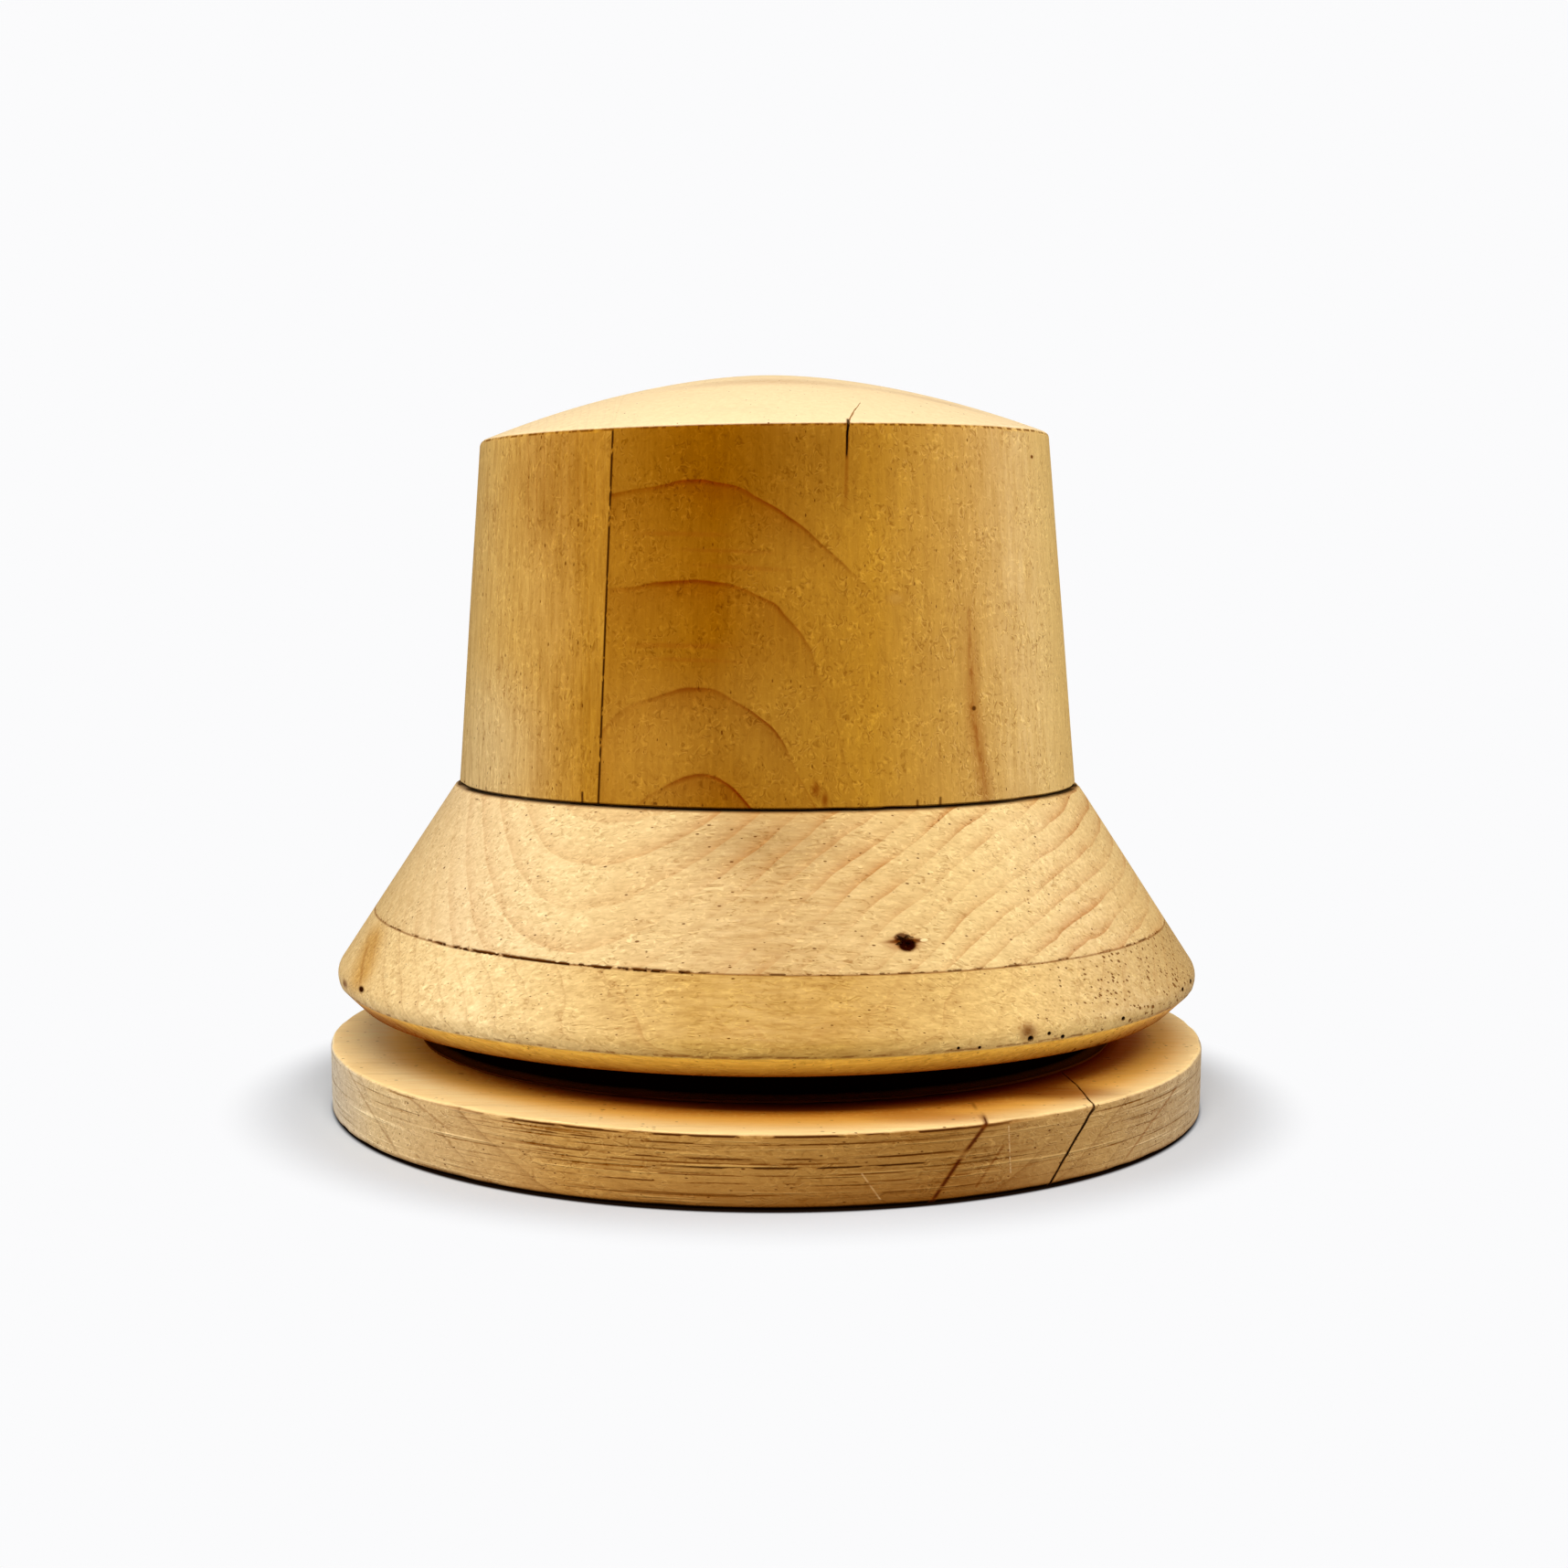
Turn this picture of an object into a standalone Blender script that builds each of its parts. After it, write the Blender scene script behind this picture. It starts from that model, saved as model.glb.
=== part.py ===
"""Oval wooden hat block: a lift-off crown on a sloping brim block, with a rope groove and a base board.

X runs along the head oval from the back of the hat (-X) to its front (+X), Y runs across it and Z is up.
The origin is in the middle of the base board's underside. Lengths are in metres.
"""

import math

import bmesh
import bpy
from mathutils import Matrix, Vector

MM = 0.001

# Head oval, where the crown meets the brim (a 57 cm head)
HEAD_LENGTH = 197.0 * MM
HEAD_WIDTH = 164.0 * MM

# Crown block
CROWN_HEIGHT = 108.0 * MM
CROWN_DRAFT = 9.0 * MM
CROWN_SET_BACK = 1.4 * MM
CROWN_ARRIS_ROUND = 2.0 * MM
TIP_TILT = math.radians(1.05)
DOME_RISE = 19.8 * MM
DOME_POWER = 1.77
CROWN_GLUE_BEHIND_MIDDLE = 48.5 * MM
CROWN_GLUE_LEAN = math.radians(2.24)

# Brim block
BRIM_LEDGE = 1.0 * MM
BRIM_DEPTH = 58.0 * MM
BRIM_REACH = 39.2 * MM
BRIM_EDGE_ROUND = 6.0 * MM
BRIM_EDGE_HEIGHT = 3.5 * MM
BRIM_EDGE_INSET = 0.9 * MM
UNDER_BEVEL = 7.1 * MM
UNDER_ROUND = 4.0 * MM
UPPER_BOARD_THICKNESS = 41.1 * MM
BRIM_GLUE_TILT = math.radians(0.63)
ROPE_GROOVE_HEIGHT = 12.4 * MM
ROPE_GROOVE_DEPTH = 23.2 * MM
ROPE_GROOVE_ROUND = 3.0 * MM
NECK_COVE = 4.0 * MM
NECK_LIP = 0.8 * MM

# Base board
BASE_THICKNESS = 20.9 * MM
BASE_REACH = 41.4 * MM
BASE_ARRIS_ROUND = 1.2 * MM
BASE_FOOT_EASE = 1.0 * MM

# Seats and glue lines
SEAM_EASE = 0.6 * MM
FIT_GAP = 0.3 * MM

# How far a cutter runs past the face that it opens
CUTTER_OVERRUN = 5.0 * MM

# Spindle hole for the block stand
SPINDLE_RADIUS = 13.5 * MM
SPINDLE_DEPTH_IN_CROWN = 40.0 * MM

# Locating dowels between brim and crown
DOWEL_RADIUS = 6.0 * MM
DOWEL_LENGTH = 38.0 * MM
DOWEL_DEPTH_IN_BRIM = 20.0 * MM
DOWEL_CHAMFER = 1.2 * MM
DOWEL_RUNNING_CLEARANCE = 0.4 * MM
DOWEL_AIR_OVER_END = 2.0 * MM

# Countersunk slotted screws under the base
SCREW_COUNT = 6
SCREW_LENGTH = 42.0 * MM
SCREW_SHANK_RADIUS = 2.4 * MM
SCREW_TIP_LENGTH = 6.0 * MM
SCREW_HEAD_RADIUS = 4.8 * MM
SCREW_HEAD_RIM = 0.5 * MM
SCREW_SINK = 0.5 * MM
SCREW_SLOT_WIDTH = 1.2 * MM
SCREW_SLOT_DEPTH = 1.3 * MM
SCREW_INSIDE_NECK = 16.0 * MM
SCREW_LAST_TURN = math.radians(50)

# Facets round a big oval, a bore and a screw
OVAL_STEPS = 96
BORE_STEPS = 32
SCREW_STEPS = 16
DOME_STEPS = 9
ROUND_STEPS = 4

# Radii along the long axis and heights that follow from the sizes above
HEAD_RADIUS = HEAD_LENGTH / 2
OVAL_DIFFERENCE = (HEAD_LENGTH - HEAD_WIDTH) / 2
CROWN_TOP_RADIUS = HEAD_RADIUS - CROWN_DRAFT
BRIM_TOP_RADIUS = HEAD_RADIUS + BRIM_LEDGE
BRIM_EDGE_RADIUS = HEAD_RADIUS + BRIM_REACH
BRIM_ARRIS_RADIUS = BRIM_EDGE_RADIUS - BRIM_EDGE_INSET
BEVEL_END_RADIUS = BRIM_ARRIS_RADIUS - UNDER_BEVEL
NECK_RADIUS = BEVEL_END_RADIUS - ROPE_GROOVE_DEPTH
BASE_RADIUS = HEAD_RADIUS + BASE_REACH
NECK_FOOT_Z = BASE_THICKNESS + FIT_GAP
BEVEL_END_Z = BASE_THICKNESS + ROPE_GROOVE_HEIGHT
BRIM_ARRIS_Z = BEVEL_END_Z + UNDER_BEVEL
BRIM_EDGE_Z = BRIM_ARRIS_Z + BRIM_EDGE_HEIGHT
BRIM_TOP_Z = BRIM_EDGE_Z + BRIM_DEPTH
CROWN_FOOT_Z = BRIM_TOP_Z + FIT_GAP
BRIM_GLUE_Z = BRIM_TOP_Z - UPPER_BOARD_THICKNESS
DOWEL_X = (HEAD_RADIUS + CROWN_GLUE_BEHIND_MIDDLE) / 2


def clear_scene():
    for thing in list(bpy.data.objects):
        bpy.data.objects.remove(thing)


def new_collection(name):
    group = bpy.data.collections.new(name)
    bpy.context.scene.collection.children.link(group)
    return group


def linear(hex_colour):
    """Turn an sRGB hex colour into the linear values that a shader takes."""
    channels = [int(hex_colour[i:i + 2], 16) / 255 for i in (1, 3, 5)]
    return [c / 12.92 if c <= 0.04045 else ((c + 0.055) / 1.055) ** 2.4 for c in channels] + [1.0]


def material(name, hex_colour, roughness, metallic=0.0):
    finish = bpy.data.materials.new(name)
    finish.use_nodes = True
    shader = finish.node_tree.nodes["Principled BSDF"]
    shader.inputs["Base Color"].default_value = linear(hex_colour)
    shader.inputs["Roughness"].default_value = roughness
    shader.inputs["Metallic"].default_value = metallic
    finish.diffuse_color = linear(hex_colour)
    return finish


def rounded_profile(corners):
    """Turn (radius, z, rounding) corners into points, with an arc at each corner that has a rounding."""
    points = []
    for i, (radius, z, rounding) in enumerate(corners):
        corner = Vector((radius, z))
        if not rounding:
            points.append(corner)
            continue
        to_last = (Vector(corners[i - 1][:2]) - corner).normalized()
        to_next = (Vector(corners[i + 1][:2]) - corner).normalized()
        half_angle = to_last.angle(to_next) / 2
        reach = rounding / math.tan(half_angle)
        centre = corner + (to_last + to_next).normalized() * rounding / math.sin(half_angle)
        start = corner + to_last * reach - centre
        turn = start.angle_signed(corner + to_next * reach - centre)
        for step in range(ROUND_STEPS + 1):
            spoke = start.copy()
            spoke.rotate(Matrix.Rotation(-turn * step / ROUND_STEPS, 2))
            points.append(centre + spoke)
    return points


def add_object(name, mesh, group, finish=None, parent=None):
    thing = bpy.data.objects.new(name, mesh)
    group.objects.link(thing)
    if finish:
        mesh.materials.clear()
        mesh.materials.append(finish)
    thing.parent = parent
    return thing


def evaluated_mesh(thing):
    """Take an object's mesh with its modifiers, and remove the object."""
    graph = bpy.context.evaluated_depsgraph_get()
    mesh = bpy.data.meshes.new_from_object(thing.evaluated_get(graph))
    bpy.data.objects.remove(thing)
    return mesh


def turned_mesh(name, profile, steps):
    """Turn a profile, listed down its outer side, round the Z axis."""
    outline = bpy.data.meshes.new(name)
    outline.from_pydata([(r, 0, z) for r, z in profile], [(i, i + 1) for i in range(len(profile) - 1)], [])
    blank = add_object(name, outline, bpy.context.scene.collection)
    lathe = blank.modifiers.new("Lathe", "SCREW")
    lathe.axis = "Z"
    lathe.steps = steps
    lathe.render_steps = steps
    lathe.use_merge_vertices = True
    lathe.merge_threshold = 0.00001
    return evaluated_mesh(blank)


def oval_width(radius):
    """Half the width of the oval whose half length is radius.

    Oval turning keeps the difference of the two axes. Inside the crown's arris it shrinks to nothing,
    so that the dome closes at the axis.
    """
    return radius - OVAL_DIFFERENCE * min(1.0, radius / CROWN_TOP_RADIUS)


def oval_turned_mesh(name, profile):
    """Turn a profile on the oval lathe: its radii hold along X, and Y follows the head oval."""
    mesh = turned_mesh(name, profile, OVAL_STEPS)
    for vertex in mesh.vertices:
        radius = math.hypot(vertex.co.x, vertex.co.y)
        if radius > 0:
            vertex.co.y *= oval_width(radius) / radius
    return mesh


def board_from(blank, name, point, outward):
    """Copy a turned blank and keep the board behind the glue plane, with a flat glued face."""
    shape = bmesh.new()
    shape.from_mesh(blank)
    everything = shape.verts[:] + shape.edges[:] + shape.faces[:]
    bmesh.ops.bisect_plane(shape, geom=everything, plane_co=point, plane_no=outward, clear_outer=True)
    rim = [edge for edge in shape.edges if edge.is_boundary]
    bmesh.ops.contextual_create(shape, geom=rim)
    bmesh.ops.recalc_face_normals(shape, faces=shape.faces[:])
    board = bpy.data.meshes.new(name)
    shape.to_mesh(board)
    shape.free()
    return board


def smooth(mesh):
    mesh.shade_smooth()
    mesh.set_sharp_from_angle(angle=math.radians(30))


def add_cutter(name, mesh, location=(0, 0, 0)):
    cutter = add_object(name, mesh, cutters)
    cutter.location = location
    cutter.hide_render = True
    cutter.display_type = "WIRE"
    return cutter


def cut(thing, cutter):
    hole = thing.modifiers.new(cutter.name, "BOOLEAN")
    hole.operation = "DIFFERENCE"
    hole.solver = "EXACT"
    hole.object = cutter


def cylinder_profile(radius, bottom, top, chamfer=0.0):
    if not chamfer:
        return [(0, top), (radius, top), (radius, bottom), (0, bottom)]
    inner = radius - chamfer
    side = [(radius, top - chamfer), (radius, bottom + chamfer)]
    return [(0, top), (inner, top)] + side + [(inner, bottom), (0, bottom)]


def crown_blank():
    """The crown before its boards are parted: drafted sides, a crisp arris and a low dome.

    Z is from its foot. The tip is set back a little and rises towards the front.
    """
    corners = []
    for step in range(DOME_STEPS):
        share = step / DOME_STEPS
        corners.append((CROWN_TOP_RADIUS * share, CROWN_HEIGHT + DOME_RISE * (1 - share ** DOME_POWER), 0))
    draft_at_ease = CROWN_DRAFT * SEAM_EASE / CROWN_HEIGHT
    corners += [
        (CROWN_TOP_RADIUS, CROWN_HEIGHT, CROWN_ARRIS_ROUND),
        (HEAD_RADIUS - draft_at_ease, SEAM_EASE, 0),
        (HEAD_RADIUS - SEAM_EASE, 0, 0),
        (0, 0, 0),
    ]
    mesh = oval_turned_mesh("crown_blank", rounded_profile(corners))
    for vertex in mesh.vertices:
        rise = min(1.0, vertex.co.z / CROWN_HEIGHT)
        vertex.co.z += math.tan(TIP_TILT) * vertex.co.x * rise
        vertex.co.x -= CROWN_SET_BACK * rise
    return mesh


def brim_blank():
    """Both brim boards in one: ledge, straight slope, round edge, undercut bevel, rope groove and neck."""
    slope = (BRIM_EDGE_RADIUS - BRIM_TOP_RADIUS) / BRIM_DEPTH
    foot_radius = NECK_RADIUS + NECK_COVE + NECK_LIP
    lip_z = NECK_FOOT_Z + NECK_LIP
    corners = [
        (0, BRIM_TOP_Z, 0),
        (BRIM_TOP_RADIUS - SEAM_EASE, BRIM_TOP_Z, 0),
        (BRIM_TOP_RADIUS + slope * SEAM_EASE, BRIM_TOP_Z - SEAM_EASE, 0),
        (BRIM_EDGE_RADIUS, BRIM_EDGE_Z, BRIM_EDGE_ROUND),
        (BRIM_ARRIS_RADIUS, BRIM_ARRIS_Z, 0),
        (BEVEL_END_RADIUS, BEVEL_END_Z, UNDER_ROUND),
        (NECK_RADIUS, BEVEL_END_Z, ROPE_GROOVE_ROUND),
        (NECK_RADIUS, lip_z, NECK_COVE),
        (foot_radius, lip_z, 0),
        (foot_radius, NECK_FOOT_Z, 0),
        (0, NECK_FOOT_Z, 0),
    ]
    return oval_turned_mesh("brim_blank", rounded_profile(corners))


def base_profile():
    return rounded_profile([
        (0, BASE_THICKNESS, 0),
        (BASE_RADIUS, BASE_THICKNESS, BASE_ARRIS_ROUND),
        (BASE_RADIUS, BASE_FOOT_EASE, 0),
        (BASE_RADIUS - BASE_FOOT_EASE, 0, 0),
        (0, 0, 0),
    ])


def screw_profile(grow=0.0):
    """A wood screw with its head at z = 0 and its tip up. A growth makes the hole that it sits in."""
    head_cone = SCREW_HEAD_RADIUS - SCREW_SHANK_RADIUS
    mouth = -grow - SCREW_SINK if grow else 0
    return [
        (0, SCREW_LENGTH + grow),
        (SCREW_SHANK_RADIUS + grow, SCREW_LENGTH - SCREW_TIP_LENGTH + grow),
        (SCREW_SHANK_RADIUS + grow, SCREW_HEAD_RIM + head_cone),
        (SCREW_HEAD_RADIUS + grow, SCREW_HEAD_RIM),
        (SCREW_HEAD_RADIUS + grow, mouth),
        (0, mouth),
    ]


def screw_mesh():
    """One slotted countersunk screw, which all six share."""
    blank = add_object("screw_blank", turned_mesh("screw", screw_profile(), SCREW_STEPS), cutters)
    slot_shape = bmesh.new()
    bmesh.ops.create_cube(slot_shape, size=1)
    across = 2 * (SCREW_HEAD_RADIUS + CUTTER_OVERRUN)
    size = (across, SCREW_SLOT_WIDTH, 2 * SCREW_SLOT_DEPTH)
    bmesh.ops.scale(slot_shape, vec=size, verts=slot_shape.verts[:])
    slot_mesh = bpy.data.meshes.new("screw_slot")
    slot_shape.to_mesh(slot_mesh)
    slot_shape.free()
    cut(blank, add_cutter("screw_slot", slot_mesh))
    return evaluated_mesh(blank)


def screw_places():
    """Even steps round an oval inside the neck, clear of the spindle hole and the ends of the boards."""
    length = NECK_RADIUS - SCREW_INSIDE_NECK
    width = oval_width(NECK_RADIUS) - SCREW_INSIDE_NECK
    for number in range(SCREW_COUNT):
        angle = 2 * math.pi * (number + 0.5) / SCREW_COUNT
        yield number + 1, (length * math.cos(angle), width * math.sin(angle), SCREW_SINK)


def build_crown(spindle, sockets):
    """The two crown boards, parted by a leaning glue plane, on the empty that lifts them."""
    lift = bpy.data.objects.new("crown_lift", None)
    lift.location = (0, 0, CROWN_FOOT_Z)
    block.objects.link(lift)
    blank = crown_blank()
    forward = Vector((math.cos(CROWN_GLUE_LEAN), 0, -math.sin(CROWN_GLUE_LEAN)))
    seat = Vector((-CROWN_GLUE_BEHIND_MIDDLE, 0, 0))
    boards = [
        ("crown_left_board", seat - forward * FIT_GAP / 2, forward, pale_alder),
        ("crown_right_board", seat + forward * FIT_GAP / 2, -forward, figured_alder),
    ]
    for name, point, outward, finish in boards:
        board = add_object(name, board_from(blank, name, point, outward), block, finish, lift)
        smooth(board.data)
        for socket in sockets:
            if (socket.location.x < -CROWN_GLUE_BEHIND_MIDDLE) == (name == "crown_left_board"):
                cut(board, socket)
        if name == "crown_right_board":
            cut(board, spindle)
    bpy.data.meshes.remove(blank)


def build_brim(spindle, dowel_holes, screw_holes):
    """The two brim boards, parted by a slightly tilted glue plane."""
    blank = brim_blank()
    upward = Vector((math.sin(BRIM_GLUE_TILT), 0, math.cos(BRIM_GLUE_TILT)))
    seat = Vector((0, 0, BRIM_GLUE_Z))
    boards = [
        ("brim_upper_board", seat + upward * FIT_GAP / 2, -upward, honey_alder, dowel_holes),
        ("brim_lower_board", seat - upward * FIT_GAP / 2, upward, straw_alder, screw_holes),
    ]
    for name, point, outward, finish, holes in boards:
        board = add_object(name, board_from(blank, name, point, outward), block, finish)
        smooth(board.data)
        for hole in [spindle] + holes:
            cut(board, hole)
    bpy.data.meshes.remove(blank)


def build_base(spindle, screw_holes):
    base = add_object("base_board", oval_turned_mesh("base_board", base_profile()), block, base_alder)
    smooth(base.data)
    for hole in [spindle] + screw_holes:
        cut(base, hole)


def build_dowels():
    """Two dowels glued into the brim, with their hole and socket cutters for brim and crown."""
    holes = []
    sockets = []
    for end, x in (("rear", -DOWEL_X), ("front", DOWEL_X)):
        foot_z = BRIM_TOP_Z - DOWEL_DEPTH_IN_BRIM
        profile = cylinder_profile(DOWEL_RADIUS, 0, DOWEL_LENGTH, DOWEL_CHAMFER)
        dowel = add_object(f"locating_dowel_{end}", turned_mesh("dowel", profile, BORE_STEPS), block, birch)
        dowel.location = (x, 0, foot_z)
        smooth(dowel.data)
        hole = cylinder_profile(DOWEL_RADIUS + FIT_GAP, -FIT_GAP, DOWEL_DEPTH_IN_BRIM + CUTTER_OVERRUN)
        hole_mesh = turned_mesh("dowel_hole", hole, BORE_STEPS)
        holes.append(add_cutter(f"dowel_hole_{end}", hole_mesh, (x, 0, foot_z)))
        mouth = DOWEL_DEPTH_IN_BRIM - CUTTER_OVERRUN
        end_of_socket = DOWEL_LENGTH + DOWEL_AIR_OVER_END
        socket = cylinder_profile(DOWEL_RADIUS + DOWEL_RUNNING_CLEARANCE, mouth, end_of_socket)
        socket_mesh = turned_mesh("dowel_socket", socket, BORE_STEPS)
        sockets.append(add_cutter(f"dowel_socket_{end}", socket_mesh, (x, 0, foot_z)))
    return holes, sockets


def build_screws():
    """Six screws that share one mesh, each turned by its own amount, with the cutters of their holes."""
    shared = screw_mesh()
    smooth(shared)
    holes = []
    for number, place in screw_places():
        screw = add_object(f"base_screw_{number}", shared, block, brass)
        screw.location = place
        screw.rotation_euler.z = SCREW_LAST_TURN * number
        hole = turned_mesh("screw_hole", screw_profile(FIT_GAP), SCREW_STEPS)
        cutter = add_cutter(f"screw_hole_{number}", hole, place)
        cutter.rotation_euler = screw.rotation_euler
        holes.append(cutter)
    return holes


clear_scene()
block = new_collection("hat_block")
cutters = new_collection("cutters")
pale_alder = material("pale_alder", "#D9AE68", 0.42)
figured_alder = material("figured_alder", "#C8923F", 0.42)
honey_alder = material("honey_alder", "#E2B774", 0.45)
straw_alder = material("straw_alder", "#E4BC70", 0.45)
base_alder = material("base_alder", "#D69C4E", 0.5)
birch = material("birch", "#DDBE8C", 0.55)
brass = material("brass", "#A98A4C", 0.4, 1.0)

spindle_top = CROWN_FOOT_Z + SPINDLE_DEPTH_IN_CROWN
spindle_profile = cylinder_profile(SPINDLE_RADIUS, -CUTTER_OVERRUN, spindle_top)
spindle_hole = add_cutter("spindle_hole", turned_mesh("spindle", spindle_profile, BORE_STEPS))
dowel_holes, dowel_sockets = build_dowels()
screw_holes = build_screws()
build_crown(spindle_hole, dowel_sockets)
build_brim(spindle_hole, dowel_holes, screw_holes)
build_base(spindle_hole, screw_holes)
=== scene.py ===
"""Looks of an oval wooden hat block: finely turned boards with their figure, checks and worm holes."""

import math

import bmesh
import bpy
from mathutils import Matrix, Vector, noise


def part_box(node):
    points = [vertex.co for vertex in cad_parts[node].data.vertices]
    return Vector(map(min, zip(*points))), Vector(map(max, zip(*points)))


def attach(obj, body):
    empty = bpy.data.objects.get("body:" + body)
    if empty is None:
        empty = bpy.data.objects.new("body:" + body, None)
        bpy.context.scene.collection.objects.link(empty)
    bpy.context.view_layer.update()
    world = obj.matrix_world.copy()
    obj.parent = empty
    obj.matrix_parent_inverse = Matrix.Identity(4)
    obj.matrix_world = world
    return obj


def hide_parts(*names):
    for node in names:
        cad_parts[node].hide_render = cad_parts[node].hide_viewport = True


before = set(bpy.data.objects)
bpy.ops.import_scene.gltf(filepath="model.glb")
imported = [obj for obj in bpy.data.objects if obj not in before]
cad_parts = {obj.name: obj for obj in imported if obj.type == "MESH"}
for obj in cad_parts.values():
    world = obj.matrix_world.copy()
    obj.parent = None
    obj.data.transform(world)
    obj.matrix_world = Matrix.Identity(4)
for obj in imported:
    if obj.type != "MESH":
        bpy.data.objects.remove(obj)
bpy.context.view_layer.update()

MM = 0.001

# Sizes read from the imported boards
BASE_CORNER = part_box("base_board")[1]
LOWER_FOOT, LOWER_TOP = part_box("brim_lower_board")
UPPER_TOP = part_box("brim_upper_board")[1]
BASE_RADIUS = BASE_CORNER.x
BASE_THICKNESS = BASE_CORNER.z
OVAL_DIFFERENCE = BASE_CORNER.x - BASE_CORNER.y
NECK_FOOT_Z = LOWER_FOOT.z
FIT_GAP = NECK_FOOT_Z - BASE_THICKNESS
BRIM_TOP_Z = UPPER_TOP.z
CROWN_FOOT_Z = BRIM_TOP_Z + FIT_GAP

# The turned outlines between those boxes, as the solids have them
HEAD_RADIUS = 98.5 * MM
SEAM_EASE = 0.6 * MM
CROWN_HEIGHT = 108.0 * MM
CROWN_TOP_RADIUS = HEAD_RADIUS - 9.0 * MM
CROWN_SET_BACK = 1.4 * MM
CROWN_ARRIS_ROUND = 2.0 * MM
TIP_TILT = math.radians(1.05)
DOME_RISE = 19.8 * MM
DOME_POWER = 1.77
BRIM_TOP_RADIUS = HEAD_RADIUS + 1.0 * MM
BRIM_EDGE_RADIUS = HEAD_RADIUS + 39.2 * MM
BRIM_ARRIS_RADIUS = BRIM_EDGE_RADIUS - 0.9 * MM
BEVEL_END_RADIUS = BRIM_ARRIS_RADIUS - 7.1 * MM
BEVEL_END_Z = BASE_THICKNESS + 12.4 * MM
BRIM_ARRIS_Z = BEVEL_END_Z + 7.1 * MM
BRIM_EDGE_Z = BRIM_ARRIS_Z + 3.5 * MM
BRIM_EDGE_ROUND = 6.0 * MM
UNDER_ROUND = 4.0 * MM
NECK_RADIUS = BEVEL_END_RADIUS - 23.2 * MM
ROPE_GROOVE_ROUND = 3.0 * MM
NECK_COVE = 4.0 * MM
NECK_LIP = 0.8 * MM
BASE_ARRIS_ROUND = 1.2 * MM
BASE_FOOT_EASE = 1.0 * MM

# Glue planes
CROWN_GLUE_X = -48.5 * MM
CROWN_GLUE_LEAN = math.radians(2.24)
BRIM_GLUE_Z = BRIM_TOP_Z - 41.1 * MM
BRIM_GLUE_TILT = math.radians(0.63)
GLUE_GAP = 0.04 * MM

# Bores, dowels and screws
SPINDLE_RADIUS = 13.5 * MM
SPINDLE_TOP_Z = CROWN_FOOT_Z + 40.0 * MM
DOWEL_RADIUS = 6.0 * MM
SOCKET_RADIUS = 6.4 * MM
SOCKET_AIR = 2.0 * MM
SCREW_HEAD_RADIUS = 4.8 * MM
SCREW_SHANK_RADIUS = 2.4 * MM
SCREW_TIP_LENGTH = 6.0 * MM
SCREW_HEAD_RIM = 0.5 * MM
SCREW_SLOT_WIDTH = 1.2 * MM
SCREW_SLOT_DEPTH = 1.3 * MM
SCREW_LAST_TURN = math.radians(50)
SCREW_STEPS = 32
DOWEL_CHAMFER = 1.2 * MM
DOWEL_ENDS = ("rear", "front")
OVERRUN = 5.0 * MM

# Facets: round the oval, along an outline, in a rounding, round a bore. A flat face has one more row
# inside its rim, which keeps it flat to the eye.
OVAL_STEPS = 288
ROW = 3.0 * MM
ROUND_STEPS = 6
BORE_STEPS = 64
FLAT_MARGIN = 3.0 * MM
SHARP_ANGLE = math.radians(30)

# How far hand work and handling have left the surface under its true outline
UNEVENNESS = 0.25 * MM
UNEVEN_LENGTH = 45.0 * MM
EDGE_WEAR = 0.55 * MM
EDGE_WEAR_LENGTH = 9.0 * MM
EDGE_WEAR_SHIFT = Vector((7, 3, 1))
ARRIS_BEND = math.radians(8)

# Drying checks: the path over the surface in millimetres, the way in, the width and the depth
CROWN_CHECK = (
    [(21.8, -71.3, 201.5), (22.0, -70.9, 206.0), (22.2, -70.0, 210.7), (24.1, -61.7, 214.4),
     (26.6, -52.5, 217.7)],
    (0.05, 0.75, -0.66), 0.8 * MM, 6.0 * MM)
BASE_CHECK = (
    [(77.7, -102.3, -0.5), (83.6, -98.9, 8.5), (91.8, -92.9, 19.9), (91.2, -88.0, 20.9), (90.2, -72.4, 20.9),
     (88.0, -58.0, 20.9)],
    (-0.05, 0.72, -0.7), 0.7 * MM, 9.0 * MM)
CHECK_STEPS = 6
CHECK_END = 0.08
CHECK_FULLNESS = 0.6
CHECK_THINNEST = 0.12
CHECK_LIP = 2.0 * MM
CHECK_SHAKE = 0.35 * MM
CHECK_SHAKE_LENGTH = 3.0 * MM
CHECK_RAG_LENGTH = 2.0 * MM

# Pits, in millimetres: the loose knot's place, size and raggedness, and the worm holes' places and radii
KNOT = ((38.0, -99.6, 68.2), (3.0, 1.9, 1.7), 0.8)
WORM_HOLES = [
    (72.4, -102.2, 41.8, 0.9), (77.9, -99.2, 42.6, 0.5), (82.1, -96.4, 41.0, 0.6),
    (101.6, -80.8, 42.6, 0.6), (130.1, -37.3, 44.2, 0.7), (125.4, -48.9, 44.1, 0.6),
    (51.7, -111.7, 41.4, 0.4), (57.7, -109.2, 41.0, 0.4),
]
WORM_HOLE_DEPTH = 1.8
WORM_HOLE_RAGS = 0.15
PIT_RAG_PITCH = 2.2

# The camera, fitted to the photograph's 1716 pixel frame
PICTURE_SIDE = 1716
FOCAL_PIXELS = 2148.88
SENSOR_WIDTH = 36.0
CAMERA_PLACE = Vector((-0.52, -629.86, 170.08)) * MM
CAMERA_PITCH = math.radians(6.30)
CAMERA_ROLL = math.radians(0.2164)
AXIS_LEFT_OF_CENTRE = 20

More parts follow.
